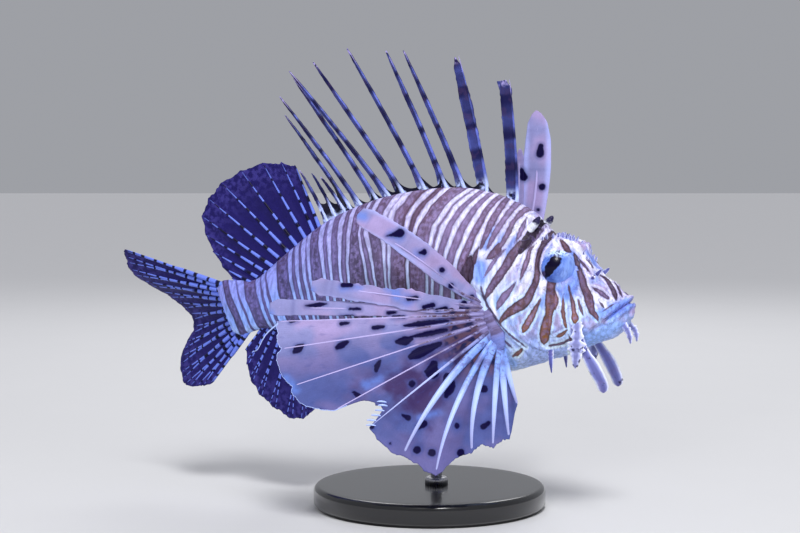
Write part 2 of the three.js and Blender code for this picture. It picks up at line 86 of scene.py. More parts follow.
def makeCamera():
    data = bpy.data.cameras.new("photo_camera")
    data.sensor_width = cameraPlan["sensor"]
    data.lens = focalPixels * cameraPlan["sensor"] / cameraPlan["frameSize"][0]
    data.clip_start = 0.01
    data.clip_end = 20
    camera = bpy.data.objects.new("photo_camera", data)
    rows = [[*row] for row in zip(cameraRight, cameraUp, cameraBack, cameraPlace * mm)]
    camera.matrix_world = Matrix(rows + [[0, 0, 0, 1]])
    bpy.context.scene.collection.objects.link(camera)
    bpy.context.scene.camera = camera


makeCamera()
print("camera set")


# small helpers for shapes

def smooth(low, high, x):
    t = np.clip((np.asarray(x, float) - low) / (high - low), 0, 1)
    return t * t * (3 - 2 * t)


def hump(x, width):
    return np.exp(-((x / width) ** 2))


# smooth interpolation between rows of numbers, at fractional rows
def alongRows(rows, at):
    rows = np.asarray(rows, float)
    at = np.asarray(at, float)
    last = len(rows) - 1
    i = np.clip(np.floor(at).astype(int), 0, last - 1)
    t = (at - i)[..., None]
    a, b, c, d = rows[np.maximum(i - 1, 0)], rows[i], rows[i + 1], rows[np.minimum(i + 2, last)]
    slopeB = (c - a) / 2
    slopeC = (d - b) / 2
    rise = c - b
    bend = 3 * rise - 2 * slopeB - slopeC
    return b + t * slopeB + t**2 * bend + t**3 * (slopeB + slopeC - 2 * rise)


# a number of rows spread evenly along a few
def spread(rows, count):
    return alongRows(rows, np.linspace(0, len(rows) - 1, count))


# a smooth line through a few points, as many close ones
def smoothLine(points, steps=6):
    return spread(points, steps * (len(points) - 1) + 1)


# lumpy noise from -1 to 1 that is the same each run
def lumps(points, size, seed=0):
    p = np.asarray(points, float) / size + seed * 17.31
    cell = np.floor(p).astype(np.int64)
    f = p - cell
    f = f * f * (3 - 2 * f)
    total = np.zeros(p.shape[:-1])
    for corner in np.ndindex(*([2] * p.shape[-1])):
        weight = np.ones(p.shape[:-1])
        mixed = np.zeros(p.shape[:-1], np.int64)
        for n, step in enumerate(corner):
            weight = weight * (f[..., n] if step else 1 - f[..., n])
            mixed = mixed ^ ((cell[..., n] + step) * (73856093, 19349663, 83492791)[n])
        mixed = (mixed * 1103515245 + 12345) & 0x7FFFFFFF
        mixed = (mixed ^ (mixed >> 13)) * 1274126177 & 0x7FFFFFFF
        total += weight * (mixed / 0x3FFFFFFF - 1)
    return total


# the same along numbers instead of points, beside a second number that tells one line from another
def lumpsAlong(at, other, seed, size=1.0):
    return lumps(np.stack(np.broadcast_arrays(at, other), -1), size, seed)


# distance from places to a line of points, and where along the line they are nearest
def lineDistance(places, line):
    line = np.asarray(line, float)
    best = np.full(places.shape[:-1], 1e9)
    part = np.zeros(places.shape[:-1])
    for i in range(len(line) - 1):
        a, span = line[i], line[i + 1] - line[i]
        t = np.clip((places - a) @ span / max(span @ span, 1e-9), 0, 1)
        away = np.linalg.norm(places - a - t[..., None] * span, axis=-1)
        nearer = away < best
        best = np.where(nearer, away, best)
        part = np.where(nearer, i + t, part)
    return best, part


# how far inside a line with widths the pixels are, and at what part of its length
def insideLine(pixels, line):
    line = smoothLine(line * 2 if len(line) == 1 else line, 4)
    away, part = lineDistance(pixels, line[:, :2])
    width = np.interp(part, np.arange(len(line)), line[:, 2])
    return width / 2 - away, part / (len(line) - 1)


# how strongly pixels lie on such lines, with soft edges
def softLines(pixels, lines, soft):
    strongest = np.zeros(pixels.shape[:-1])
    for line in lines:
        strongest = np.maximum(strongest, smooth(-soft, soft, insideLine(pixels, line)[0]))
    return strongest


def gridFaces(rows, columns, closed=False):
    r = np.arange(rows - 1)[:, None]
    c = np.arange(columns if closed else columns - 1)[None, :]
    onward = (c + 1) % columns
    corners = [r * columns + c, r * columns + onward, (r + 1) * columns + onward, (r + 1) * columns + c]
    return np.stack([np.broadcast_to(k, (rows - 1, c.shape[1])) for k in corners], -1).reshape(-1, 4)


def newShape():
    return {"points": [], "faces": [], "marks": [], "count": 0}


# adds points, faces and one row of marks for each point
def addPart(shape, points, faces, marks):
    points = np.asarray(points, float).reshape(-1, 3)
    shape["points"].append(points)
    shape["faces"] += [[int(n) + shape["count"] for n in face] for face in faces]
    shape["marks"].append(np.broadcast_to(marks, (len(points), np.shape(marks)[-1])))
    shape["count"] += len(points)


# adds rings of points as one closed surface, its two ends capped
def addRings(shape, grid, marks):
    rows, columns = grid.shape[:2]
    faces = gridFaces(rows, columns, closed=True).tolist()
    faces += [list(range(columns))[::-1], list(range((rows - 1) * columns, rows * columns))]
    addPart(shape, grid, faces, marks)


def buildMesh(name, shape, markNames, material, replaces):
    points = np.concatenate(shape["points"])
    marks = np.concatenate(shape["marks"])
    mesh = bpy.data.meshes.new(name)
    mesh.from_pydata((points * mm).tolist(), [], shape["faces"])
    for n, mark in enumerate(markNames):
        layer = mesh.attributes.new(mark, "FLOAT", "POINT")
        layer.data.foreach_set("value", marks[:, n].astype(np.float32))
    work = bmesh.new()
    work.from_mesh(mesh)
    bmesh.ops.recalc_face_normals(work, faces=work.faces)
    work.to_mesh(mesh)
    work.free()
    mesh.shade_smooth()
    mesh.materials.append(material)
    piece = bpy.data.objects.new(name, mesh)
    bpy.context.scene.collection.objects.link(piece)
    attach(piece, "root")
    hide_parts(*replaces)


# small helpers for materials

# a colour from how strong its red, green and blue look
def colour(*parts):
    return (*[c / 12.92 if c <= 0.04045 else ((c + 0.055) / 1.055) ** 2.4 for c in parts], 1.0)


# a value in a tree of shader nodes, which adds, subtracts, multiplies and divides as numbers do
class Value:
    def __init__(self, nodes, socket):
        self.nodes = nodes
        self.socket = socket

    def math(self, operation, other=0.0):
        return self.nodes.add("Math", {0: self, 1: other}, operation=operation)

    def __add__(self, other):
        return self.math("ADD", other)

    def __sub__(self, other):
        return self.math("SUBTRACT", other)

    def __mul__(self, other):
        return self.math("MULTIPLY", other)

    def __truediv__(self, other):
        return self.math("DIVIDE", other)

    def __rsub__(self, other):
        return self.nodes.add("Math", {0: other, 1: self}, operation="SUBTRACT")

    def __rtruediv__(self, other):
        return self.nodes.add("Math", {0: other, 1: self}, operation="DIVIDE")

    def __abs__(self):
        return self.math("ABSOLUTE")

    # a smooth step from toLow at low to toHigh at high
    def ranged(self, low, high, toLow=0.0, toHigh=1.0):
        inputs = {0: self, 1: low, 2: high, 3: toLow, 4: toHigh}
        return self.nodes.add("MapRange", inputs, interpolation_type="SMOOTHSTEP")

    # this colour with another over it, as far as the factor says
    def under(self, factor, other, blend="MIX"):
        return self.nodes.mix(factor, self, other, blend)


# the nodes of one material or one node group, and the palette that its colours are named in
class Nodes:
    def __init__(self, tree, palette=None):
        self.tree = tree
        self.palette = palette

    # makes a node with numbers, named colours and values on its inputs, and gives one of its outputs
    def add(self, kind, inputs, output=0, **settings):
        made = self.tree.nodes.new("ShaderNode" + kind)
        for key, value in settings.items():
            setattr(made, key, value)
        for key, value in inputs.items():
            if isinstance(value, Value):
                self.tree.links.new(value.socket, made.inputs[key])
            elif isinstance(value, str):
                made.inputs[key].default_value = self.palette[value]
            else:
                made.inputs[key].default_value = value
        return Value(self, made.outputs[output])

    def mix(self, factor, a, b, blend="MIX"):
        return self.add("Mix", {0: factor, 6: a, 7: b}, 2, data_type="RGBA", blend_type=blend)

    # a named value that the points of the mesh carry
    def marked(self, name):
        return self.add("Attribute", {}, "Fac", attribute_name=name)

    def placed(self):
        return self.add("TexCoord", {}, "Object")

    # noise with grains of a size in millimetres
    def grain(self, size, detail=2.0, stretch=None):
        where = self.placed()
        if stretch:
            where = self.add("Mapping", {"Vector": where, "Scale": stretch})
        return self.add("TexNoise", {"Vector": where, "Scale": 1000 / size, "Detail": detail})

    # noise over two values instead of over places
    def noiseOver(self, x, y, scale, detail):
        at = self.add("CombineXYZ", {"X": x, "Y": y})
        return self.add("TexNoise", {"Vector": at, "Scale": scale, "Detail": detail})

    def group(self, group, inputs, output=0):
        return self.add("Group", inputs, output, node_tree=group)

    def toShader(self, value, socket):
        self.tree.links.new(value.socket, self.tree.nodes["Principled BSDF"].inputs[socket])

    # the base colour, varied by an amount in patches and specks
    def paint(self, tone, amount, patch, speck=0.8):
        inputs = {"Colour": tone, "Amount": amount, "Patch Size": patch, "Speck Size": speck}
        self.toShader(self.group(mottle, inputs), "Base Color")

    def bump(self, height, strength, distance):
        inputs = {"Height": height, "Strength": strength, "Distance": distance * mm}
        self.toShader(self.add("Bump", inputs), "Normal")


def newGroup(name, inputs, outputs):
    group = bpy.data.node_groups.new(name, "ShaderNodeTree")
    for label, value in inputs.items():
        kind = "NodeSocketColor" if isinstance(value, tuple) else "NodeSocketFloat"
        group.interface.new_socket(label, in_out="INPUT", socket_type=kind).default_value = value
    for label, kind in outputs.items():
        group.interface.new_socket(label, in_out="OUTPUT", socket_type="NodeSocket" + kind)
    nodes = Nodes(group)
    start = group.nodes.new("NodeGroupInput").outputs
    end = group.nodes.new("NodeGroupOutput").inputs
    return nodes, {label: Value(nodes, start[label]) for label in inputs}, end


# softEdge turns a distance from an edge, in millimetres, into a mask with a slightly uneven rim
def makeSoftEdge():
    inputs = {"Distance": 0.0, "Softness": 0.3, "Wobble": 0.3, "Wobble Size": 2.0}
    nodes, given, out = newGroup("softEdge", inputs, {"Mask": "Float"})
    moved = given["Distance"] + (nodes.grain(given["Wobble Size"]) - 0.5) * given["Wobble"]
    mask = moved.ranged(given["Softness"] * -1.0, given["Softness"])
    nodes.tree.links.new(mask.socket, out["Mask"])
    return nodes.tree


# mottle varies a colour in patches and in fine specks
def makeMottle():
    inputs = {"Colour": (0.5, 0.5, 0.5, 1.0), "Amount": 0.2, "Patch Size": 6.0, "Speck Size": 0.8}
    nodes, given, out = newGroup("mottle", inputs, {"Colour": "Color"})
    both = nodes.grain(given["Patch Size"], 3.0) * 0.6 + nodes.grain(given["Speck Size"]) * 0.4
    value = (both - 0.5) * given["Amount"] + 1.0
    changed = nodes.add("HueSaturation", {"Value": value, "Color": given["Colour"]})
    nodes.tree.links.new(changed.socket, out["Colour"])
    return nodes.tree


# scaleRelief is the height of small overlapping scales
def makeScaleRelief():
    nodes, given, out = newGroup("scaleRelief", {"Size": 1.1, "Roundness": 0.7}, {"Height": "Float"})
    inputs = {"Vector": nodes.placed(), "Scale": 1000 / given["Size"], "Smoothness": 0.3}
    away = nodes.add("TexVoronoi", inputs, "Distance", feature="SMOOTH_F1")
    nodes.tree.links.new((1.0 - away * given["Roundness"]).socket, out["Height"])
    return nodes.tree


# rayDashes breaks a fin ray into pale lengths with dark joints, each ray out of step with the next
def makeRayDashes():
    inputs = {"Reach": 0.0, "Ray": 0.0, "Pitch": 9.0, "Share": 0.6, "Softness": 0.08}
    nodes, given, out = newGroup("rayDashes", inputs, {"Dash": "Float", "Joint": "Float"})
    reach, ray, pitch, share, softness = given.values()
    offset = ((ray * 12.99).math("SINE") * 437.5).math("FRACT")
    at = {"W": reach * 0.09 + ray * 3.7, "Scale": 1.0, "Detail": 1.0}
    drift = nodes.add("TexNoise", at, noise_dimensions="1D")
    part = (reach / pitch + (offset + drift)).math("FRACT")
    dash = part.ranged(0.0, softness) * part.ranged(share + softness, share)
    joint = abs(part - (share + 1.0) * 0.5).ranged(0.16, 0.06)
    nodes.tree.links.new(dash.socket, out["Dash"])
    nodes.tree.links.new(joint.socket, out["Joint"])
    return nodes.tree


softEdge = makeSoftEdge()
mottle = makeMottle()
scaleRelief = makeScaleRelief()
rayDashes = makeRayDashes()


# a material with plain numbers on its shader's own sockets, and its nodes
def newMaterial(name, palette, **sockets):
    material = bpy.data.materials.new(name)
    material.use_nodes = True
    shader = material.node_tree.nodes["Principled BSDF"]
    for key, value in sockets.items():
        shader.inputs[key.replace("_", " ")].default_value = value
    return material, Nodes(material.node_tree, palette)


print("material groups ready")


# body

bodyPlan = {
    "squareness": 0.92,
    "keel": 0.3,
    "ring": 300,  # points round the skin
    "step": 0.5,  # between rings
    "fineStep": 0.34,  # at the mouth
    "fineAhead": 92,  # the x from which the rings lie closer
    "snoutRound": 1.7,
    "tailRound": 0.6,
    # back x, back z, belly x, belly z, half width, from the lips to the root of the tail fin
    "stations": [
        (110.2, 110.6, 109.6, 103.6, 2.6),
        (108.6, 114.8, 107.0, 98.6, 6.6),
        (102.0, 120.4, 101.0, 94.0, 10.6),
        (94.0, 126.8, 93.0, 91.0, 13.8),
        (87.5, 136.6, 86.5, 88.0, 16.0),
        (79.0, 143.0, 79.0, 84.6, 18.0),
        (69.0, 146.4, 69.0, 82.0, 19.8),
        (58.0, 156.6, 58.0, 78.6, 21.8),
        (40.0, 166.2, 41.0, 73.6, 23.4),
        (18.0, 170.4, 20.0, 71.8, 22.4),
        (-8.0, 168.6, -6.0, 73.6, 19.4),
        (-34.0, 162.8, -32.0, 79.0, 15.8),
        (-60.0, 151.6, -58.0, 85.4, 12.0),
        (-84.0, 134.2, -80.0, 90.6, 8.4),
        (-102.0, 119.8, -96.0, 92.2, 6.2),
        (-113.0, 118.4, -104.5, 90.2, 5.4),
        (-123.3, 118.2, -111.5, 87.8, 4.0),
        (-128.0, 114.6, -117.6, 89.4, 1.0),
    ],
}
eyePlan = {
    "x": 72.0,
    "z": 130.6,
    "radius": 10.2,
    "depth": 5.6,  # from the skin in to the eyeball's centre
    "ahead": 1.4,
    "gaze": (0.3, 1.0, 0.06),
    # the round opening of the lids: which way it faces, its half angle, and how thick the lids are
    "opening": (0.52, 0.84, -0.12),
    "openingAngle": 57.0,
    "lid": 0.3,
    # the pupil leans with the dark stripe that crosses the eye
    "pupilLean": 56.0,
    "pupilBack": 1.7,  # how far behind the eye's middle it is
    "pupilRadius": 2.8,
    "stripeHalf": 1.7,
}
# swellings and hollows of the head: x, z, radius, push out
headRelief = [
    (eyePlan["x"] + 3, eyePlan["z"] + 7, 9, 3.0),  # brow
    (eyePlan["x"], eyePlan["z"] - 3, 10, 2.0),  # orbit
    (93, 121, 6, 1.0),  # nasal bone
    (86, 113, 8, -1.4),  # hollow of the cheek
    (72, 104, 9, 1.2),  # bony cheek
]


# a point of the body at a station number and an angle from the back round by the left side
def bodyPoint(station, angle):
    backX, backZ, bellyX, bellyZ, half = np.moveaxis(alongRows(bodyPlan["stations"], station), -1, 0)
    up = np.cos(angle)
    side = np.sin(angle)
    height = (1 + np.sign(up) * np.abs(up) ** bodyPlan["squareness"]) / 2
    narrow = 1 - bodyPlan["keel"] * np.maximum(0, up) ** 2
    x = bellyX + (backX - bellyX) * height
    z = bellyZ + (backZ - bellyZ) * height
    push = sum(amount * hump(np.hypot(x - rx, z - rz), radius) for rx, rz, radius, amount in headRelief)
    push = push * np.abs(side)
    y = np.sign(side) * half * narrow * np.abs(side) ** bodyPlan["squareness"]
    return np.stack([x, y + push * side, z + push * np.maximum(0, up)], -1), height


# half width of the body at places seen from the side
def flank(x, z):
    x = np.asarray(x, float)
    z = np.asarray(z, float)
    low = np.zeros(np.broadcast(x, z).shape)
    high = low + len(bodyPlan["stations"]) - 1
    for _ in range(30):
        middle = (low + high) / 2
        backX, backZ, bellyX, bellyZ = np.moveaxis(alongRows(bodyPlan["stations"], middle), -1, 0)[:4]
        ahead = bellyX + (backX - bellyX) * (z - bellyZ) / (backZ - bellyZ) > x
        low = np.where(ahead, middle, low)
        high = np.where(ahead, high, middle)
    up = np.clip(2 * (z - bellyZ) / (backZ - bellyZ) - 1, -1, 1)
    up = np.sign(up) * np.abs(up) ** (1 / bodyPlan["squareness"])
    return bodyPoint(low, np.arccos(up))[0][..., 1]


def skinStations():
    fine = np.linspace(0, len(bodyPlan["stations"]) - 1, 6000)
    rows = alongRows(bodyPlan["stations"], fine)
    middle = (rows[:, 0] + rows[:, 2]) / 2
    step = np.where(middle > bodyPlan["fineAhead"], bodyPlan["fineStep"], bodyPlan["step"])
    travelled = np.concatenate([[0], np.cumsum(np.abs(np.diff(middle)) / step[1:])])
    return np.interp(np.arange(0, travelled[-1]), travelled, fine)


# closes an end of the loft with shrinking rings that bulge along the fish
def endRings(ring, bulge, count):
    turn = np.linspace(0, 0.47 * math.pi, count + 1)[1:]
    middle = ring.mean(axis=0)
    rings = middle + (ring - middle)[None] * np.cos(turn)[:, None, None]
    rings[..., 0] += bulge * np.sin(turn)[:, None]
    return rings


def unitNormals(grid, closed=False):
    down = np.gradient(grid, axis=0)
    if closed:
        across = np.roll(grid, -1, axis=1) - np.roll(grid, 1, axis=1)
    else:
        across = np.gradient(grid, axis=1)
    normal = np.cross(across, down)
    return normal / np.maximum(np.linalg.norm(normal, axis=-1, keepdims=True), 1e-9)


# forms of the head, as lines in x and z
gillEdge = [(41, 139), (32, 130), (31, 122), (38, 116), (42, 108), (47, 99), (55, 90), (60, 84)]
mouthLine = [(97.5, 102.4), (104, 107.6), (110.4, 113), (115, 117)]
upperJaw = [(90, 100.5), (94.5, 105), (102.5, 111.5)]
# folds, bars and rings, each with its ridges and grooves: distance from the line, width, height
headFolds = [
    ([(62, 130), (56, 121), (53, 108), (56, 97), (64, 89), (76, 87)], [(0, 1.3, 0.5), (2.6, 1.2, -0.25)]),
    ([(84, 121), (74, 114), (63, 112), (55, 113)], [(0, 1.7, 0.55)]),
    ([(98.5, 101), (93, 98), (88, 93.5), (80, 88)], [(0, 0.7, -0.6)]),
    ([(74, 85.5), (64, 88), (55, 94)], [(0, 0.6, -0.4)]),
    ([(eyePlan["x"] + 2, eyePlan["z"])] * 2, [(11.0, 1.6, 0.8)]),
    ([(91.8, 124.4)] * 2, [(1.5, 0.6, 0.55), (0, 0.8, -1.2)]),
    ([(88.8, 127.6)] * 2, [(1.5, 0.6, 0.55), (0, 0.8, -1.2)]),
]
# bony ridges and furrows, as lines in the photograph's pixels, each with its width and height in millimetres
headRidges = [
    ([(541, 254), (546, 249), (553, 246), (562, 246), (571, 248), (579, 249), (588, 250)], 2.0, 1.9),
    ([(573, 247), (581, 253), (588, 263), (596, 271)], 1.0, 0.55),
    ([(592, 252), (596, 261), (599, 271)], 0.9, 0.5),
    ([(600, 271), (608, 278), (613, 286), (618, 297)], 1.1, 0.6),
    ([(612, 277), (620, 285), (627, 293)], 0.8, 0.5),
    ([(590, 285), (599, 291), (608, 300), (612, 306)], 1.1, 0.5),
    ([(586, 291), (593, 300), (604, 307)], 1.2, 0.5),
    ([(571, 286), (575, 298), (577, 312)], 0.9, 0.35),
    ([(560, 292), (559, 306), (557, 322)], 1.2, 0.35),
    ([(541, 284), (539, 296), (536, 308)], 1.2, 0.45),
    ([(528, 291), (519, 299), (508, 305)], 1.0, 0.45),
    ([(521, 255), (513, 266), (503, 278), (494, 290)], 1.0, 0.5),
    ([(533, 250), (530, 265), (525, 281)], 0.9, 0.4),
    ([(540, 232), (531, 242), (521, 253)], 1.0, 0.4),
    ([(529, 218), (519, 228), (509, 244)], 1.6, 0.7),
    ([(516, 216), (506, 230), (497, 244)], 1.2, 0.45),
    ([(545, 219), (538, 226), (531, 230)], 1.4, -0.5),
    ([(583, 268), (588, 282), (595, 296)], 0.8, -0.35),
    ([(600, 276), (606, 283), (612, 295)], 0.8, -0.4),
]


# the step at the edge of the gill cover, from which the head stands proud of the trunk
def gillRelief(places):
    x, z = np.moveaxis(places, -1, 0)
    line = smoothLine(gillEdge)
    edge, _ = lineDistance(places, line)
    order = np.argsort(line[:, 1])
    edge = edge * np.sign(x - np.interp(z, line[order, 1], line[order, 0]))
    here = smooth(146, 134, z) * smooth(80, 88, z)
    raised = smooth(-0.2, 0.5, edge) * here + (1 - here) * smooth(30, 60, x)
    lip = 0.25 * hump(edge - 1.2, 0.9) - 0.55 * hump(edge + 0.9, 0.8)
    return 0.95 * (1 - smooth(50, 78, x)) * raised + lip * here


# the groove of the mouth between two wrinkled lips
def mouthRelief(points, places):
    x, z = np.moveaxis(places, -1, 0)
    away, part = lineDistance(places, smoothLine(mouthLine))
    (startX, startZ), _, (endX, endZ), _ = mouthLine
    above = np.sign(z - startZ - (endZ - startZ) / (endX - startX) * (x - startX))
    lips = (1.35 + 0.25 * above) * hump(away - 1.9, 1.2) - 2.4 * hump(away, 0.55)
    wrinkles = 0.16 * np.sin(part * 7.6 + 2 * lumps(points, 3.0, 20)) * hump(away - 2.4, 1.6)
    return smooth(0.0, 3.0, part) * (x > 96) * (lips + wrinkles)


def skinRelief(points, height):
    places = points[..., [0, 2]]
    x = places[..., 0]
    relief = gillRelief(places) + mouthRelief(points, places)
    relief += 0.6 * smooth(3.2, 2.2, lineDistance(places, smoothLine(upperJaw))[0])
    for line, humps in headFolds:
        away, _ = lineDistance(places, smoothLine(line))
        relief += sum(high * hump(away - offset, wide) for offset, wide, high in humps)

    near = np.nonzero(x > 45)
    pixels = inRightSide(points[near])
    rough = 1.5 + 0.75 * lumps(points[near], 1.3, 16)
    for line, wide, high in headRidges:
        away, _ = lineDistance(pixels, smoothLine(line, 4))
        relief[near] += high * rough * hump(away * cameraPlan["pixelSize"], wide)

    onHead = smooth(38, 60, x)
    relief += onHead * (0.35 * lumps(points, 3.4, 1) + 0.18 * lumps(points, 1.5, 2))
    relief += onHead * smooth(0.72, 0.9, height) * 0.4 * np.abs(lumps(points, 2.2, 3))
    relief += 0.1 * (1 - onHead) * lumps(points, 2.4, 4)
    return relief


# stripes

# Lines that run down the flank beside the stripes. Each row is a stripe number, which is the
# line's x at height 0.6 of the body's depth, then how far ahead it is of that at each height.
stripeHeights = (0, 0.3, 0.6, 0.8, 0.9, 1.0)
stripeLines = [
    (60, 0, 0, 0, 7.4, 9.8, 13),
    (36.5, -3, -2, 0, 7.4, 9.8, 13),
    (30.5, -3, -2, 0, 7.4, 10.4, 15),
    (22.5, -2, -2, 0, 7, 10.5, 16),
    (15.5, -1, -1, 0, 6, 11, 17.5),
    (9.8, 1, 0, 0, 4.2, 10, 18),
    (6.2, 2, 1, 0, 2.6, 8, 17),
    (-5.5, 4, 3, 0, 4, 9, 17.5),
    (-16, 3, 2, 0, -2, -1.2, 4),
    (-29, 8, 7, 0, -5.5, -4.8, -2),
    (-40.5, 5, 2.4, 0, -1.2, -1, 0),
    (-57, 6, 3.2, 0, -3, -4.4, -4.8),
    (-77.5, 7, 4, 0, -2, -3, -3.4),
    (-100, 6, 3, 0, -1.5, -2.4, -3.4),
    (-113.5, 7, 4, 0, -2.2, -3.4, -5),
    (-130, 7, 4, 0, -2.2, -3.4, -5),
]
# white stripes, from one stripe number to another
whiteStripes = [
    (-140, -119.6), (-114.8, -111.2), (-109.8, -106.6), (-99.0, -97.0), (-95.4, -93.4), (-91.6, -86.4),
    (-78.2, -76.2), (-73.6, -71.6), (-69.2, -67.2), (-65.8, -64.2), (-57.6, -55.6), (-53.0, -51.2),
    (-46.9, -45.2), (-42.0, -40.4), (-32.0, -30.4), (-27.3, -25.6), (-19.7, -18.0), (-16.8, -15.2),
    (-6.5, -4.7), (5.2, 7.2), (8.9, 10.9), (14.6, 16.7), (21.1, 23.3), (27.6, 200),
]
# how dark the stripes between them are, by stripe number
stripeTones = [
    (-117.4, 0.8), (-110.6, 0.35), (-103, 0.85), (-96, 0.3), (-92.5, 0.5), (-82, 0.88), (-75, 0.42),
    (-70.4, 0.55), (-66.5, 0.3), (-61, 0.92), (-54.3, 0.3), (-49, 0.6), (-43.6, 0.6), (-36, 0.97),
    (-28.8, 0.6), (-22.6, 0.85), (-17.4, 0.3), (-11, 0.97), (0, 0.8), (8, 0.4), (12.7, 0.45),
    (18.9, 0.45), (25.4, 0.78),
]
forkedStripe = {"number": -9.8, "half": 0.9, "above": 0.72}

# Marks of the head and shoulder, as lines in the photograph's pixels on the fish's right side.
# Each has its points with a width at each, how dark it is, and how orange and how black at its ends.
headMarks = [
    ([(547, 219, 4), (540, 224, 8), (534, 231, 11), (528, 240, 11), (519, 250, 9)], 1.0, (0, 0),
      (1.0, 0.75)),
    ([(521, 244, 8), (512, 256, 10), (506, 266, 9), (499, 276, 9), (492, 286, 8), (487, 295, 5),
      (485, 300, 2)], 0.85, (0.1, 0), (0.35, 0)),
    ([(537, 243, 1), (530, 250, 3), (528, 258, 5), (525, 266, 5), (522, 274, 4),
      (520, 281, 1)], 0.6, (0.1, 0.2), (0, 0)),
    ([(556, 231, 5), (549, 237, 7), (543, 245, 6), (539, 254, 5), (537, 264, 5), (537, 273, 6),
      (536, 281, 7), (532, 290, 8), (528, 298, 9), (521, 305, 11), (513, 310, 10), (506, 315, 7),
      (501, 321, 4), (500, 326, 1)], 0.9, (0.1, 0.35), (0.6, 0)),
    ([(516, 282, 1), (510, 290, 5), (503, 298, 8), (499, 305, 6), (497, 310, 1)], 0.45, (0, 0.1), (0, 0)),
    ([(541, 298, 1), (536, 308, 5), (530, 319, 7), (525, 328, 7), (523, 332, 2)], 0.7, (0.3, 0.95),
      (0, 0)),
    ([(555, 270, 4), (553, 277, 8), (551, 286, 9), (550, 296, 10), (550, 306, 10), (549, 314, 8),
      (547, 322, 10), (545, 332, 11), (544, 341, 8), (544, 344, 2)], 0.92, (0.0, 1.15), (0.45, 0)),
    ([(555, 291, 2), (556, 300, 6), (555, 309, 2)], 0.7, (0.5, 0.6), (0, 0)),
    ([(563, 295, 1), (563, 308, 4), (564, 318, 4), (566, 327, 2)], 0.55, (0.5, 0.9), (0, 0)),
    ([(567, 330, 1), (561, 335, 4), (555, 337, 1.5)], 0.5, (0.8, 0.9), (0, 0)),
    ([(568, 279, 1), (569, 288, 2), (571, 296, 3), (573, 304, 5), (574, 312, 5), (575, 318, 8),
      (575, 323, 3)], 0.65, (0, 1.0), (0.1, 0)),
    ([(578, 299, 1), (580, 307, 3.5), (583, 315, 1)], 0.6, (0.3, 0.4), (0, 0)),
    ([(574, 253, 2), (577, 262, 5), (579, 270, 6), (582, 278, 7), (584, 287, 8), (588, 296, 9),
      (590, 304, 9), (592, 311, 7), (596, 316, 5), (598, 321, 1)], 0.88, (0, 0.3), (0.5, 0)),
    ([(577, 257, 1), (584, 265, 2.5), (591, 274, 1)], 0.75, (0, 0), (0.2, 0.1)),
    ([(561, 240, 2), (565, 246, 6), (568, 250, 6), (572, 252, 1)], 0.95, (0.3, 0.1), (0.1, 0.3)),
    ([(589, 245, 1), (594, 253, 3), (598, 264, 1)], 0.9, (0, 0), (0.6, 0.6)),
    ([(592, 287, 1), (600, 292, 5), (608, 298, 3)], 0.6, (0, 0), (0.1, 0.2)),
    ([(599, 274, 1), (606, 279, 3), (611, 286, 5), (615, 294, 5), (616, 300, 2)], 0.9, (0, 0),
      (0.3, 0.6)),
    ([(615, 282, 1), (619, 289, 2.5), (622, 297, 1)], 0.8, (0, 0), (0.3, 0.4)),
    ([(620, 284, 1), (624, 290, 2.5), (628, 295, 1)], 0.8, (0, 0), (0.3, 0.4)),
    ([(598, 300, 1), (602, 305, 2.5), (604, 308, 1)], 0.6, (0, 0), (0.2, 0.2)),
    ([(527, 217, 1), (523, 226, 5), (518, 237, 4), (514, 244, 1)], 0.4, (0, 0), (0, 0)),
    ([(512, 194, 3), (504, 203, 6), (497, 213, 7), (490, 226, 7), (484, 240, 5),
      (480, 251, 1)], 0.75, (0, 0), (0, 0.1)),
    ([(534, 206, 6), (524, 211, 6), (514, 221, 5), (508, 233, 6), (502, 244, 5),
      (499, 249, 1)], 0.5, (0.1, 0.1), (0, 0.1)),
    ([(521, 200, 6), (512, 209, 6), (503, 221, 6), (495, 233, 6), (489, 245, 4),
      (486, 250, 1)], 0.5, (0, 0), (0, 0)),
    ([(499, 244, 3), (497, 250, 9), (491, 256, 7), (486, 259, 1)], 0.9, (0.1, 0), (0.3, 0.1)),
    ([(506, 249, 1), (500, 254, 3), (494, 262, 4), (487, 272, 3), (483, 279, 1)], 0.3, (0, 0), (0, 0)),
    ([(546, 226, 1), (541, 232, 3), (535, 240, 3), (527, 249, 1)], 0.35, (0, 0), (0, 0)),
    ([(547, 346, 1), (560, 344, 3), (571, 339, 2)], 0.3, (0.3, 0.3), (0, 0)),
    ([(479, 247, 1), (475, 256, 5), (474, 263, 3)], 0.9, (0, 0), (0.3, 0.3)),
    ([(471, 257, 4), (468, 266, 13), (464, 277, 18), (461, 287, 12), (459, 293, 3)], 1.0, (0, 0),
      (0.6, 0.62)),
    ([(481, 287, 1.5), (484, 298, 2.5), (490, 310, 2.5), (497, 320, 2.5), (505, 330, 2), (514, 338, 2),
      (526, 347, 1)], 0.5, (0, 0), (0.15, 0)),
    ([(522, 349, 2), (518, 353, 5), (513, 356, 2)], 0.3, (0.8, 0.8), (0, 0)),
    ([(568, 334, 1), (572, 344, 3), (570, 352, 1)], 0.4, (0.6, 0.6), (0, 0)),
    ([(502, 338, 1), (507, 343, 2.5), (512, 348, 1)], 0.2, (0, 0), (0, 0)),
    ([(585, 258, 1), (590, 263, 2), (593, 268, 1)], 0.5, (0, 0), (0, 0)),
    ([(602, 312, 1), (609, 307, 1.6), (616, 303, 1)], 0.45, (0, 0), (0.2, 0.2)),
]
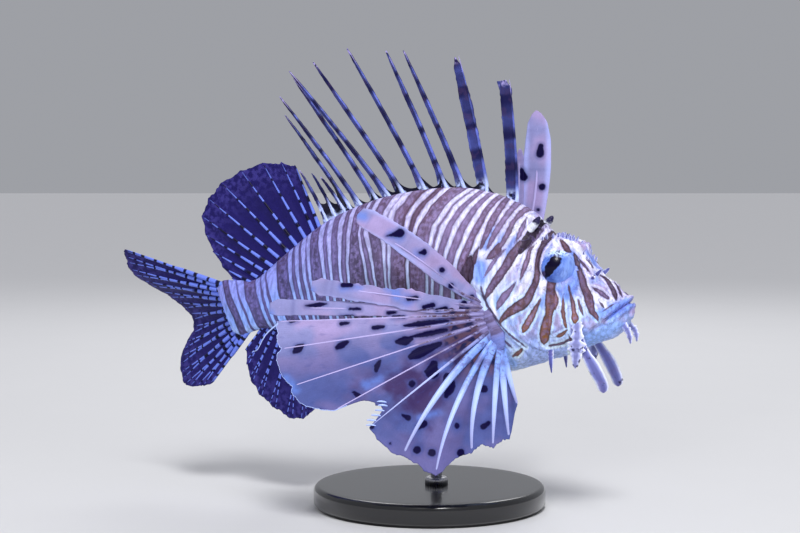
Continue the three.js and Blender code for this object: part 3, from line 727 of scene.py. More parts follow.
# patches of clear blue
bluePatches = [
    [(570, 251, 6), (574, 259, 10), (574, 270, 15), (573, 282, 16), (568, 293, 14), (566, 301, 6)],
    [(558, 285, 8), (561, 298, 8)],
    [(587, 254, 5), (593, 262, 8), (597, 268, 4)],
    [(480, 266, 14), (480, 278, 14)],
    [(545, 296, 6), (541, 306, 6)],
    [(494, 228, 3), (488, 238, 5), (485, 248, 5)],
    [(503, 233, 3), (498, 243, 5), (494, 252, 5)],
    [(517, 236, 4), (511, 244, 6), (506, 254, 4)],
    [(497, 298, 5), (497, 310, 6)],
    [(500, 349, 12), (514, 364, 8)],
    [(596, 316, 10), (612, 308, 10), (626, 301, 6)],
    [(610, 319, 7), (621, 312, 8), (631, 305, 7)],
    [(590, 340, 14), (606, 331, 14), (620, 324, 8)],
]
# bright white lines between them, partly the fish's white lines and partly painted highlights, each point
# with its width
whiteAndHighlightMarks = [
    [(541, 293, 4), (543, 286, 8), (546, 280, 3)],
    [(524, 250, 3), (517, 259, 6), (507, 271, 6), (498, 282, 5), (492, 293, 4), (492, 306, 4),
      (496, 315, 5)],
    [(534, 250, 3), (531, 263, 5), (528, 277, 5), (522, 288, 5), (514, 297, 4), (507, 305, 3)],
    [(566, 241, 5), (576, 246, 6), (585, 257, 5), (592, 267, 4), (598, 271, 3)],
    [(553, 241, 3), (556, 246, 5), (552, 252, 4)],
    [(532, 217, 6), (522, 223, 7), (513, 232, 5), (507, 243, 4)],
    [(546, 233, 3), (540, 240, 5), (531, 250, 4)],
    [(598, 301, 3), (604, 305, 6), (607, 308, 2)],
    [(571, 297, 2), (574, 305, 3), (576, 313, 2)],
    [(556, 293, 4), (558, 299, 4), (557, 308, 3)],
    [(600, 272, 2), (609, 279, 3), (615, 290, 2)],
    [(588, 288, 2), (597, 296, 3), (606, 303, 2)],
    [(542, 217, 4), (539, 221, 5), (536, 224, 3)],
    [(587, 283, 2), (592, 292, 3), (598, 301, 3)],
    [(468, 280, 3), (469, 288, 4), (463, 293, 5), (470, 292, 4), (478, 290, 3)],
]
marksAhead = 18.0  # the head marks are looked for ahead of this x


def stripeNumber(x, height):
    rows = np.array(stripeLines[::-1], float)
    number = x.copy()
    for _ in range(14):
        shift = np.zeros(x.shape)
        for k in range(len(stripeHeights) - 1):
            low = np.interp(number, rows[:, 0], rows[:, k + 1])
            high = np.interp(number, rows[:, 0], rows[:, k + 2])
            part = (height - stripeHeights[k]) / (stripeHeights[k + 1] - stripeHeights[k])
            here = (part >= 0) & (part <= 1)
            shift = np.where(here, low + (high - low) * np.clip(part, 0, 1), shift)
        number = 0.5 * number + 0.5 * (x - shift)
    return number


def eyeMiddle(side):
    depth = float(flank(eyePlan["x"], eyePlan["z"])) - eyePlan["depth"]
    return np.array((eyePlan["x"] + eyePlan["ahead"], side * depth, eyePlan["z"]))


# draws the skin over the eyeballs as lids, and into them inside the lids' opening
def withLids(grid):
    for side in (-1, 1):
        away = grid - eyeMiddle(side)
        distance = np.linalg.norm(away, axis=-1)
        axis = np.array(eyePlan["opening"]) * (1, side, 1)
        angle = np.degrees(np.arccos(np.clip(away @ axis / np.linalg.norm(axis) / distance, -1, 1)))
        edge = eyePlan["openingAngle"] + 1.5 * lumps(grid, 4.0, 22)
        covered = smooth(-3.5, 3.5, angle - edge)
        radius = eyePlan["radius"] + eyePlan["lid"] - (1 - covered) * 2.5
        near = (distance < eyePlan["radius"] + 3) & (away[..., 1] * side > -1) & (angle < 100)
        wanted = np.where(covered > 0.5, np.maximum(distance, radius), np.minimum(distance, radius))
        scale = np.where(near, wanted / distance, 1.0)
        grid = eyeMiddle(side) + away * scale[..., None]
    return grid


# how far inside a dark stripe of the flank each point is in millimetres, and the stripe's tone
def flankStripes(points, height):
    number = stripeNumber(points[..., 0], np.clip(height, 0, 1))
    number = number + 0.5 * lumps(points, 9.0, 5) + 0.2 * lumps(points, 2.5, 6)
    widen = 0.5 * smooth(0.5, 0.95, height) - 0.11
    white = np.full(number.shape, -9.0)
    for low, high in whiteStripes:
        white = np.maximum(white, (high - low) / 2 + widen - np.abs(number - (low + high) / 2))
    fork = forkedStripe["half"] - np.abs(number - forkedStripe["number"])
    white = np.where(height > forkedStripe["above"], np.maximum(white, fork), white)
    return -white, np.interp(number, *np.transpose(stripeTones))


skinMarks = ("inside", "tone", "orange", "black", "bright", "blue", "height", "head")


# the marks of the skin at each point
def skinMarksAt(points, height):
    inside, tone = flankStripes(points, height)
    orange, black, bright = np.zeros((3, *tone.shape))
    near = np.nonzero(points[..., 0] > marksAhead)
    pixels = inRightSide(points[near])
    headInside = np.full(len(pixels), -9.0)
    found = np.zeros((3, len(pixels)))
    for line, dark, orangeEnds, blackEnds in headMarks:
        deep, part = insideLine(pixels, line)
        deep = deep * cameraPlan["pixelSize"]
        nearer = deep > headInside
        headInside = np.where(nearer, deep, headInside)
        values = (dark, np.interp(part, (0, 1), orangeEnds), np.interp(part, (0, 1), blackEnds))
        for n, value in enumerate(values):
            found[n] = np.where(nearer, value, found[n])
    headInside += 0.3 * lumps(points[near], 1.7, 23) + 0.15 * lumps(points[near], 0.7, 24)
    stronger = headInside > inside[near]
    inside[near] = np.where(stronger, headInside, inside[near])
    tone[near] = np.where(stronger, found[0], tone[near])
    orange[near] = np.where(stronger, found[1], 0)
    black[near] = np.where(stronger, found[2], 0)
    # the head's white lines and painted highlights
    bright[near] = softLines(pixels, whiteAndHighlightMarks, 1.3)
    blue = smooth(-50, -105, points[..., 0]) * 0.35
    blue[near] = softLines(pixels, bluePatches, 3.5)
    head = smooth(34, 62, points[..., 0])
    return np.stack([np.clip(inside, -4, 4), tone, orange, black, bright, blue, height, head], -1)


skinColours = {
    "whiteTop": colour(0.71, 0.68, 0.86),
    "whiteLow": colour(0.73, 0.83, 1.0),
    "belly": colour(0.87, 0.95, 1.0),
    "bright": colour(0.87, 0.87, 0.97),
    "clearBlue": colour(0.42, 0.56, 0.91),
    "jawBlue": colour(0.56, 0.70, 0.97),
    "rear": colour(0.78, 0.82, 0.97),
    "mauve": colour(0.66, 0.58, 0.77),
    "blue": colour(0.56, 0.64, 0.91),
    "pale": colour(0.57, 0.51, 0.71),
    "brownTop": colour(0.37, 0.27, 0.36),
    "brownLow": colour(0.26, 0.22, 0.25),
    "olive": colour(0.29, 0.27, 0.37),
    "orange": colour(0.56, 0.37, 0.24),
    "ink": colour(0.05, 0.03, 0.12),
    "rim": colour(0.17, 0.11, 0.17),
    "wrinkleShadeTone": colour(0.36, 0.31, 0.52),
}


def skinMaterial():
    sockets = {"Specular_IOR_Level": 0.22, "Coat_Weight": 0.04, "Coat_Roughness": 0.15}
    material, nodes = newMaterial("striped_skin", skinColours, **sockets)
    inside, tone, orange, black, bright, blue, height, head = map(nodes.marked, skinMarks)
    ahead = nodes.add("SeparateXYZ", {0: nodes.placed()})
    edged = {"Distance": inside, "Softness": 0.34, "Wobble": 0.5, "Wobble Size": 1.6}
    dark = nodes.group(softEdge, edged)
    # painted bounce light on the fish's pale underside: the white turns lighter and bluer downwards, palest
    # at the belly
    white = nodes.mix(height.ranged(0.85, 0.3), "whiteTop", "whiteLow")
    white = white.under(height.ranged(0.2, 0.04), "belly")
    # the head's pale parts turn mauve and blue away from the dark marks
    far = inside.ranged(-0.7, -1.9) * head
    tint = nodes.mix(nodes.grain(7.0, 3.0).ranged(0.4, 0.6), "mauve", "blue")
    white = white.under(far * 0.8, tint.under(height.ranged(0.3, 0.12), "blue"))
    clear = nodes.mix(height.ranged(0.55, 0.35), "clearBlue", "jawBlue")
    white = white.under(blue * 0.85, clear)
    # white lines are brightest in their middles, and a painted highlight makes them brighter higher up the
    # body; the white marks of the head add more painted highlights
    core = inside.ranged(-0.25, -0.9) * height.ranged(0.35, 0.7, 0.15, 0.7)
    core = core * (1.0 - far) * (1.0 - blue) * ahead.ranged(-0.03, 0.02, 0.2, 1.0)
    white = white.under(core.math("MAXIMUM", bright), "bright")
    brown = nodes.mix(height.ranged(0.62, 0.2), "brownTop", "brownLow")
    olive = ahead.ranged(0.02, -0.04) * height.ranged(0.95, 0.7, 0.0, 0.75)
    brown = nodes.mix(tone, "pale", brown.under(olive, "olive"))
    brown = brown.under(orange, "orange")
    # paler, broken middles and dark rims, as the stripes of the head have
    broken = inside.ranged(0.6, 1.6) * (0.6 - black * 0.6) * nodes.grain(2.2, 4.0).ranged(0.4, 0.6)
    brown = brown.under(broken, "pale")
    brown = brown.under(inside.ranged(1.1, 0.3) * (head * 0.25 + 0.35), "rim")
    brown = brown.under(black, "ink")
    tinted = white.under(dark, brown)
    # towards the tail everything is bluer and a little darker
    tinted = tinted.under(ahead.ranged(0.0, -0.085), "rear", "MULTIPLY")
    # painted shade: thin dark lines in the fine wrinkles of the head
    wrinkleShade = abs(nodes.grain(8.0, 3.0) - 0.5).ranged(0.02, 0.0)
    tinted = tinted.under(wrinkleShade * (head * 0.4), "wrinkleShadeTone")
    streaks = nodes.grain(1.6, 3.0, (1.0, 1.0, 0.22)).ranged(0.35, 0.65, 0.76, 1.14)
    nodes.paint(nodes.add("HueSaturation", {"Value": streaks, "Color": tinted}), 0.75, 7.0)
    scales = nodes.group(scaleRelief, {"Size": 1.15, "Roundness": 0.8}) * head.ranged(0.0, 1.0, 1.0, 0.55)
    wrinkles = nodes.grain(1.9, 4.0) * (head + 0.4)
    relief = scales + (wrinkles + nodes.grain(0.5) * 0.4)
    nodes.bump(relief, 0.6, 0.18)
    gloss = relief.ranged(0.8, 2.0, 0.62, 0.42).math("MAXIMUM", black * dark * 0.9)
    nodes.toShader(gloss, "Roughness")
    return material


def makeSkin():
    stations = skinStations()
    angles = np.linspace(0, 2 * math.pi, bodyPlan["ring"], endpoint=False)
    grid, height = bodyPoint(*np.meshgrid(stations, angles, indexing="ij"))
    snout = endRings(grid[0], bodyPlan["snoutRound"], 8)
    rear = endRings(grid[-1], -bodyPlan["tailRound"], 4)
    grid = np.concatenate([snout[::-1], grid, rear])
    height = np.pad(height, ((len(snout), len(rear)), (0, 0)), "edge")
    normals = unitNormals(grid, closed=True)
    outward = np.sign((normals * (grid - grid.mean(axis=1, keepdims=True))).sum(-1).mean())
    grid = withLids(grid + normals * outward * skinRelief(grid, height)[..., None])
    shape = newShape()
    addRings(shape, grid, skinMarksAt(grid, height).reshape(-1, len(skinMarks)))
    nodes = ("head", "lower_jaw", "trunk", "tail_stock")
    buildMesh("fish_skin", shape, skinMarks, materials["skin"], nodes)
    print("skin made,", shape["count"], "points")


materials = {"skin": skinMaterial()}
makeSkin()


# fins

# A fin is an array of rays, each with its root, the control point of its bend and its tip
def makeRay(root, tip, bow=(0, 0, 0)):
    root, tip, bow = (np.array(p, float) for p in (root, tip, bow))
    return [root, (root + tip) / 2 + bow, tip]


# points of a fin at ray numbers, which may lie between two rays, and parts of their length
def finPoint(rays, number, t):
    number, t = np.broadcast_arrays(np.asarray(number, float), np.asarray(t, float))
    ends = alongRows(np.eye(len(rays)), number) @ np.reshape(rays, (len(rays), 9))
    root, control, tip = np.moveaxis(ends.reshape(*number.shape, 3, 3), -2, 0)
    t = t[..., None]
    return (1 - t) ** 2 * root + 2 * t * (1 - t) * control + t**2 * tip


def rayLength(rays, number):
    return np.linalg.norm(finPoint(rays, number, 1.0) - finPoint(rays, number, 0.0), axis=-1)


# the direction from ray to ray, square to the rays
def acrossFin(rays, number, t):
    ahead = np.minimum(np.floor(number) + 1, len(rays) - 1)
    behind = np.maximum(np.ceil(number) - 1, 0)
    over = finPoint(rays, ahead, t) - finPoint(rays, behind, t)
    onward = finPoint(rays, number, t + 0.01) - finPoint(rays, number, t - 0.01)
    onward /= np.linalg.norm(onward, axis=-1, keepdims=True)
    over = over - (over * onward).sum(-1, keepdims=True) * onward
    return over / np.linalg.norm(over, axis=-1, keepdims=True)


# 1 on a ray, 0 halfway to the next
def nearRay(number):
    return np.abs(2 * (number % 1) - 1)


# a thin closed sheet on a grid of points, with half its thickness at each
def addSheet(shape, grid, half, marks):
    rows, columns = grid.shape[:2]
    count = rows * columns
    offset = unitNormals(grid) * np.broadcast_to(half, (rows, columns))[..., None]
    faces = gridFaces(rows, columns)
    index = np.arange(count).reshape(rows, columns)
    rim = np.concatenate([index[0, :-1], index[:-1, -1], index[-1, :0:-1], index[:0:-1, 0]])
    nextRim = np.roll(rim, -1)
    walls = np.stack([rim, nextRim, nextRim + count, rim + count], -1)
    faces = np.concatenate([faces, faces[:, ::-1] + count, walls]).tolist()
    marks = marks.reshape(count, -1)
    addPart(shape, np.concatenate([grid + offset, grid - offset]), faces, np.concatenate([marks, marks]))


# a tube along a path, flattened by thin towards the direction flatWay
def addTube(shape, path, radii, marks, sides=8, thin=1.0, flatWay=(0, 1, 0), markEdge=False):
    onward = np.gradient(path, axis=0)
    onward /= np.linalg.norm(onward, axis=1, keepdims=True)
    wide = np.cross(onward, flatWay)
    wide /= np.maximum(np.linalg.norm(wide, axis=1, keepdims=True), 1e-9)
    flat = np.cross(wide, onward)
    turn = np.linspace(0, 2 * math.pi, sides, endpoint=False)
    radii = np.broadcast_to(radii, len(path))[:, None, None]
    rings = np.cos(turn)[None, :, None] * wide[:, None] + thin * np.sin(turn)[None, :, None] * flat[:, None]
    marks = np.repeat(marks, sides, axis=0)
    if markEdge:
        marks = np.concatenate([marks, np.tile(np.abs(np.cos(turn)), len(path))[:, None]], axis=1)
    addRings(shape, path[:, None] + radii * rings, marks)


finMarks = ("ray", "reach", "part", "across", "spot", "blue")
noSpot = (-4.0, 0.0)  # far outside any spot, and not blue


# marks of a fin at each point: ray number, millimetres from the root, part of the length,
# how far sideways from its own ray, how far inside a dark spot and how blue
def finMarksAt(rays, number, t, across=0.0, spotAndBlue=noSpot):
    number, t, across, spot, blue = np.broadcast_arrays(number, t, across, *spotAndBlue)
    return np.stack([number, t * rayLength(rays, number), t, across, spot, blue], -1)


def noSpots(points):
    return noSpot


# The membrane from one ray to another. reachAt gives how far out it goes at ray numbers.
def addMembrane(shape, rays, first, last, reachAt, half, columns, rows, spotsAt=noSpots, billow=0.0):
    number = np.linspace(first, last, (last - first) * columns + 1)
    t = np.linspace(0, 1, rows)[:, None] * reachAt(number)[None, :]
    number = np.broadcast_to(number, t.shape)
    grid = finPoint(rays, number, t)
    between = np.sin(math.pi * (number % 1)) ** 2
    grid = grid + unitNormals(grid) * (billow * between * np.sin(math.pi * np.clip(t, 0, 1)))[..., None]
    addSheet(shape, grid, half, finMarksAt(rays, number, t, spotAndBlue=spotsAt(grid)))


# The skin of one ray, from `before` to `after` millimetres beside it at parts of its length
def addBlade(shape, rays, k, parts, before, after, half, columns, rows, spotsAt=noSpots, wave=0.0, fray=0.0):
    t = np.linspace(parts[0], parts[-1], rows)
    low = -np.interp(t, parts, before) - fray * lumpsAlong(t * 42, k, 17)
    high = np.interp(t, parts, after) + fray * lumpsAlong(t * 46, k, 18)
    u = np.linspace(0, 1, columns)
    across = low[:, None] + (high - low)[:, None] * u
    t = np.broadcast_to(t[:, None], across.shape)
    number = np.full(t.shape, float(k))
    grid = finPoint(rays, number, t) + acrossFin(rays, number, t) * across[..., None]
    grid = grid + unitNormals(grid) * (wave * lumpsAlong(across / 5, t * 6 + k * 3.1, 8))[..., None]
    thick = half * (1 - 0.6 * np.abs(2 * u - 1) ** 3)
    addSheet(shape, grid, thick[None, :], finMarksAt(rays, number, t, across, spotsAt(grid)))


# The bony rays, some forked towards their ends, some beside the middle of their skin
def addRays(
    shape, rays, numbers, radii, end, steps=60, sides=8, thin=1.0, fork=0.0, forkFrom=0.5, shift=0.0,
):
    for k in numbers:
        for side in (-1, 1) if fork else (0,):
            t = np.linspace(forkFrom - 0.02 if side == 1 else 0.0, end, steps)
            own = np.full(steps, float(k))
            over = acrossFin(rays, own, t)
            number = np.clip(k + side * fork * smooth(forkFrom, 1.05, t), 0, len(rays) - 1)
            path = finPoint(rays, number, t) + shift * over * smooth(0.0, 0.15, t)[:, None]
            size = np.interp(t, np.linspace(0, end, len(radii)), radii)
            size = size * (1 - 0.35 * smooth(forkFrom, forkFrom + 0.1, t) * bool(fork))
            size[-1] *= 0.4
            flatWay = np.cross(over, np.gradient(path, axis=0))
            addTube(shape, path, size, finMarksAt(rays, own, t), sides, thin, flatWay)


# a fin's skin and its rays as two pieces
def buildFin(names, skin, bones, materialNames, node):
    for name, shape, material in zip(names, (skin, bones), materialNames):
        buildMesh(name, shape, finMarks, materials[material], (node,))


# spiny dorsal fin

dorsalPlan = {
    # root x, root z, tip x, tip z, and how wide the skin is ahead of the spine and behind it
    "spines": [
        (46, 158, 42.4, 226, 1, 1),
        (32, 164, 13.4, 239, 1, 1),
        (23, 165, -14, 243, 0.9, 2.4),
        (13, 165, -26, 243.5, 0.9, 2.4),
        (2, 164, -46.6, 245, 0.9, 2.2),
        (-10, 163, -69, 238.5, 0.9, 2.2),
        (-17, 161, -81.2, 233.6, 0.9, 2),
        (-25, 159, -81, 230, 0.9, 2),
        (-34, 156, -87, 219.8, 0.9, 1.8),
        (-41, 155, -86.3, 210, 0.9, 1.8),
        (-47, 156, -62.5, 176, 0.8, 1.4),
        (-53, 153, -70, 178, 0.8, 1.4),
        (-58, 150.6, -75, 179.6, 0.8, 1.4),
    ],
    "long": 10,  # how many are long
    "sink": 3,  # how deep the roots go into the back
    "sway": 2.5,
    "bow": (2, 0, 1),
    "radii": (1.2, 0.85, 0.65, 0.45, 0.14),
    "shortRadii": (0.9, 0.7, 0.5, 0.3, 0.12),
    # the skin at parts of a spine's length, ahead of it and behind it, times the widths above
    "parts": (0.05, 0.14, 0.22, 0.4, 0.7, 0.93, 1.0),
    "skin": ((1.6, 1.2, 0.9, 0.8, 0.7, 0.5, 0.2), (2.2, 1.6, 1.1, 1.0, 0.9, 0.5, 0.2)),
    "firstSkins": [
        ((3, 3, 3.0, 3.2, 3.3, 3.4, 0.6), (3, 3, 3.2, 3.4, 3.5, 3.4, 4.6)),
        ((2, 2, 2.0, 2.6, 2.8, 2.0, 0.3), (4, 3.4, 3.4, 3.6, 3.4, 2.4, 0.3)),
    ],
    "firstShifts": (-3.0, -2.0),  # the first spines run along the front of their skins
    "frays": (0.3, 0.12),  # of the first spines' skins, and of the others'
    # how high the web is on a spine, and how much of that halfway to the next
    "longWeb": 0.2,
    "longDip": 0.55,
    "shortWeb": 0.5,
    "shortDip": 0.8,
}


def dorsalRays():
    rays = []
    for k, (rootX, rootZ, tipX, tipZ, *_) in enumerate(dorsalPlan["spines"]):
        tip = (tipX, dorsalPlan["sway"] * (1 if k % 2 else -1), tipZ)
        rays.append(makeRay((rootX, 0, rootZ - dorsalPlan["sink"]), tip, dorsalPlan["bow"]))
    return np.array(rays)


def dorsalWebReach(number):
    plan = dorsalPlan
    long = number < plan["long"] - 1
    low = np.where(long, plan["longWeb"], plan["shortWeb"])
    dip = np.where(long, plan["longDip"], plan["shortDip"])
    return low * (dip + (1 - dip) * nearRay(number) ** 2.5) + 0.006 * lumps(number[:, None], 0.21, 9)


def makeSpinyDorsal():
    plan = dorsalPlan
    rays = dorsalRays()
    spines = newShape()
    skin = newShape()
    for k, (*_, before, after) in enumerate(plan["spines"]):
        first = k < len(plan["firstSkins"])
        ahead, behind = plan["firstSkins"][k] if first else plan["skin"]
        sides = (np.multiply(ahead, before), np.multiply(behind, after))
        fray = plan["frays"][0 if first else 1]
        addBlade(skin, rays, k, plan["parts"], *sides, 0.22, 14, 160, wave=0.35, fray=fray)
        shift = plan["firstShifts"][k] if first else 0.0
        if k < plan["long"]:
            addRays(spines, rays, [k], plan["radii"], 1.0, 80, 10, shift=shift)
        else:
            addRays(spines, rays, [k], plan["shortRadii"], 1.0, 40)
    addMembrane(skin, rays, 0, len(rays) - 1, dorsalWebReach, 0.2, 14, 30)
    names = ("dorsal_skin", "dorsal_spines")
    buildFin(names, skin, spines, ("dorsalSkin", "spine"), "spiny_dorsal_fin")


spineColours = {
    "pale": colour(0.38, 0.43, 0.78),
    "flare": colour(0.72, 0.78, 0.98),
    "dark": colour(0.08, 0.08, 0.26),
    "tip": colour(0.60, 0.56, 0.78),
    "sail": colour(0.05, 0.045, 0.13),
    "ember": colour(0.26, 0.19, 0.33),
}


# bands across the spines, which run on into their skin
def spineBands(nodes):
    inputs = {"Reach": nodes.marked("reach"), "Ray": nodes.marked("ray"), "Pitch": 17.0}
    dashes = nodes.group(rayDashes, {**inputs, "Share": 0.56, "Softness": 0.34})
    return dashes * (nodes.grain(9.0, 3.0).ranged(0.35, 0.65) * 0.55 + 0.45)


def spineMaterial():
    material, nodes = newMaterial("spine", spineColours, Roughness=0.4, Specular_IOR_Level=0.25)
    tone = nodes.mix(spineBands(nodes), "dark", "pale")
    tone = tone.under(nodes.marked("reach").ranged(18.0, 9.0), "flare")
    tone = tone.under(nodes.marked("part").ranged(0.86, 0.97), "tip")
    nodes.paint(tone, 0.7, 4.0)
    nodes.bump(nodes.grain(0.7), 0.3, 0.1)
    return material


def dorsalSkinMaterial():
    material, nodes = newMaterial("dorsal_skin", spineColours, Roughness=0.5, Specular_IOR_Level=0.15)
    across = abs(nodes.marked("across"))
    pale = nodes.mix(0.72, "pale", "dark")
    pale = pale.under(across.ranged(2.2, 3.2) * 0.4, "pale")
    tone = nodes.mix(spineBands(nodes), "dark", pale)
    tone = tone.under(nodes.grain(5.0).ranged(0.5, 0.62) * 0.35, "ember")
    # the web between the spines is dark, the skin of each spine is banded
    onBlade = across.math("GREATER_THAN", 0.01)
    tone = nodes.mix(onBlade, "sail", tone)
    frayed = nodes.marked("part").ranged(0.94, 0.99) * onBlade
    tone = tone.under(frayed * nodes.grain(2.0).ranged(0.4, 0.6), "tip")
    # pale flares climb the spines from the back
    high = nodes.marked("ray").math("PINGPONG", 0.5).ranged(0.28, 0.02, 7.0, 14.0)
    flare = (nodes.marked("reach") - high).ranged(1.5, -3.5)
    tone = tone.under(flare * nodes.grain(3.0).ranged(0.35, 0.6), "flare")
    nodes.paint(tone, 0.6, 4.0)
    nodes.bump(nodes.grain(0.9), 0.35, 0.15)
    return material


materials["spine"] = spineMaterial()
materials["dorsalSkin"] = dorsalSkinMaterial()
makeSpinyDorsal()
print("spiny dorsal fin made")


# soft dorsal, tail and anal fins

medianPlan = {
    "soft_dorsal": {
        "roots": [(-62, 0, 143), (-76, 0, 133), (-90, 0, 121), (-102, 0, 112.5)],
        "tips": [
            (-79, 0, 182.5), (-99, 0, 184), (-125, 0, 173), (-137, 0, 154), (-130, 0, 134),
            (-118.5, 0, 119.4),
        ],
        "count": 11,
        "rim": -1.4,
        "fork": 0.0,
        "sway": 1.2,
        "radii": (1.3, 1.0, 0.7, 0.5, 0.25),
    },
    "caudal": {
        "roots": [(-118, 0, 114), (-111, 0, 102), (-107, 0, 91.5)],
        "tips": [
            (-187, 0, 134.5), (-186, 8, 120), (-166, 17, 106), (-153, 20, 92), (-160, 17, 73),
            (-152, 8, 57.5), (-131, 0, 60),
        ],
        "count": 14,
        "rim": 0.8,
        "fork": 0.24,
        "sway": 0.8,
        "radii": (1.5, 1.35, 1.1, 0.85, 0.4),
    },
    "anal": {
        "roots": [(-58, 0, 92), (-78, 0, 97), (-94, 0, 98)],
        "tips": [(-56, 0, 68), (-66, 0, 50), (-79, 0, 41.5), (-97, 0, 51), (-107.6, 0, 64), (-110, 0, 80)],
        "count": 10,
        "rim": -1.2,
        "fork": 0.18,
        "sway": 0.8,
        "radii": (1.0, 0.95, 0.85, 0.7, 0.35),
    },
}


def makeMedianFin(name, node):
    plan = medianPlan[name]
    ends = zip(spread(plan["roots"], plan["count"]), spread(plan["tips"], plan["count"]))
    rays = [makeRay(*both, (0, plan["sway"] * math.sin(1.9 * k), 0)) for k, both in enumerate(ends)]
    rays = np.array(rays)
    skin = newShape()
    bones = newShape()

    def reach(number):
        between = 1 - nearRay(number) ** 2
        ragged = 0.5 * lumps(number[:, None], 0.13, 11)
        return 1 + (plan["rim"] * between + ragged) / rayLength(rays, number)

    addMembrane(skin, rays, 0, len(rays) - 1, reach, 0.16, 14, 70, billow=0.5)
    addRays(bones, rays, range(len(rays)), plan["radii"], 0.985, fork=plan["fork"], forkFrom=0.45)
    buildFin((name + "_skin", name + "_rays"), skin, bones, ("darkSkin", name), node)


darkColours = {
    "skin": colour(0.10, 0.08, 0.33),
    "rim": colour(0.20, 0.18, 0.46),
    "dash": colour(0.40, 0.48, 0.86),
    "base": colour(0.42, 0.54, 0.92),
    "joint": colour(0.02, 0.01, 0.08),
    "ray": colour(0.07, 0.08, 0.34),
}


def darkSkinMaterial():
    material, nodes = newMaterial("dark_fin_skin", darkColours, Roughness=0.5, Specular_IOR_Level=0.15)
    outer = nodes.marked("part").ranged(0.55, 0.95) * nodes.grain(3.0, 3.0).ranged(0.42, 0.6)
    nodes.paint(nodes.mix(outer, "skin", "rim"), 0.8, 4.0, 0.9)
    nodes.bump(nodes.grain(0.8), 0.4, 0.15)
    return material


# rays with pale dashes of a length, with dark joints between, that fade towards the rim
def dashedMaterial(name, pitch, share, fadeFrom, fadeTo, baseTo):
    material, nodes = newMaterial(name, darkColours, Roughness=0.4, Specular_IOR_Level=0.2)
    part = nodes.marked("part")
    inputs = {"Reach": nodes.marked("reach"), "Ray": nodes.marked("ray"), "Pitch": pitch, "Share": share}
    dash = nodes.group(rayDashes, inputs, "Dash")
    joint = nodes.group(rayDashes, inputs, "Joint")
    tone = nodes.mix(dash * part.ranged(fadeTo, fadeFrom, 0.25, 1.0), "ray", "dash")
    tone = tone.under(part.ranged(baseTo, baseTo * 0.4), "base")
    nodes.paint(tone.under(joint * 0.85, "joint"), 0.4, 5.0)
    nodes.bump(nodes.grain(0.7), 0.3, 0.1)
    return material


materials["darkSkin"] = darkSkinMaterial()
materials["soft_dorsal"] = dashedMaterial("soft_dorsal_ray", 9.5, 0.72, 0.6, 1.15, 0.02)
materials["caudal"] = dashedMaterial("caudal_ray", 7.0, 0.74, 0.75, 1.2, 0.14)
materials["anal"] = dashedMaterial("anal_ray", 4.0, 0.6, 0.9, 1.4, 0.02)
makeMedianFin("soft_dorsal", "soft_dorsal_fin")
makeMedianFin("caudal", "caudal_fin")
makeMedianFin("anal", "anal_fin")
print("median fins made")


# pectoral fins

pectoralRoots = [(38, 111), (47, 88)]  # x, z of the top ray's root, and of the lowest one's
freeRadii = (0.9, 0.6, 0.4, 0.35, 0.25)
rightPectoralPlan = {
    # reach, turn above straight back, out from the side, for each ray from the top one down
    "rays": [
        (78, 36, 13), (89.5, 8, 21), (111, 1, 21), (108, -2, 24), (108, -9, 29), (107, -20, 33),
        (95, -33, 40), (87, -46, 43), (86, -64, 42), (86, -79, 40), (72, -94, 44), (67, -104, 43),
        (61, -113, 42), (44, -126, 46),
    ],
    # how far the middles of some rays are moved
    "bows": {0: (0, -4, 9), 8: (-8, -4, 2), 9: (-9, -4, 0), 10: (-8, -4, 0)},
    # how far the rim stands out between a ray and the next, and the seed of its raggedness
    "rims": {3: 0.5, 4: 3, 5: 6, 6: -15, 7: 2, 8: -2, 9: -4, 10: -3, 11: -3, 12: -3},
    "rimSeed": 21,
    "webbed": 3,  # the first ray of the web; those above it are free
    "columns": 22,
    "rows": 130,
    "billow": 1.2,
    # the low web below each free ray: its height, its dip between the rays, how sharp that is, and its rows
    "lowWebs": [(0.1, 0.18, 2, 40), (0.24, 0.18, 2, 40), (0.5, 0.18, 2, 40)],
    # the skins of the free rays, with their widths above and below the ray at parts of its length
    "blades": [
        {
            "parts": (0, 0.12, 0.3, 0.5, 0.75, 0.93, 1.0, 1.02),
            "before": (1.5, 2.6, 4.6, 5.6, 5.8, 5.8, 4.6, 0.6),
            "after": (1.5, 4.8, 7.6, 7.2, 5.8, 5.2, 3.6, 0.6),
            "columns": 18, "rows": 180, "wave": 0.5, "fray": 0.25,
        },
        {
            "parts": (0, 0.15, 0.3, 0.42, 0.55, 0.8, 0.95, 1.0),
            "before": (1, 2.5, 3.0, 4.6, 3.2, 3.6, 3.6, 2.2),
            "after": (1, 2.5, 4.0, 6.6, 5.4, 5.4, 5.0, 2.6),
            "columns": 18, "rows": 180, "wave": 0.5, "fray": 0.7,
        },
        {
            "parts": (0, 0.2, 0.4, 0.7, 0.85, 0.96, 1.0),
            "before": (1, 2.2, 3.0, 3.8, 4.2, 4.2, 2.4),
            "after": (1, 2.2, 3.6, 3.8, 4.0, 4.6, 3.4),
            "columns": 18, "rows": 180, "wave": 0.5, "fray": 0.25,
        },
    ],
    # bony rays: numbers, radii, part of the length, thinness and how far sideways
    "bones": [
        ((0,), freeRadii, 0.97, 0.7, 3.6),
        ((1, 2), freeRadii, 0.97, 0.7, 0.0),
        ((3, 5), (0.9, 0.6, 0.45, 0.42, 0.36), 0.99, 0.8, 0.0),
        ((4, 6), (0.6, 0.55, 0.45, 0.42, 0.36), 0.99, 0.8, 0.0),
        ((7,), (1.0, 0.8, 0.6, 0.45, 0.3), 0.99, 0.7, 0.0),
        ((8, 10, 12), (2.0, 2.2, 1.7, 1.2, 0.7), 0.97, 0.45, 0.0),
        ((9, 11, 13), (1.4, 1.7, 1.5, 1.1, 0.6), 0.97, 0.45, 0.0),
    ],
}
leftParts = (0, 0.15, 0.4, 0.7, 0.85, 0.95, 1.0, 1.015)
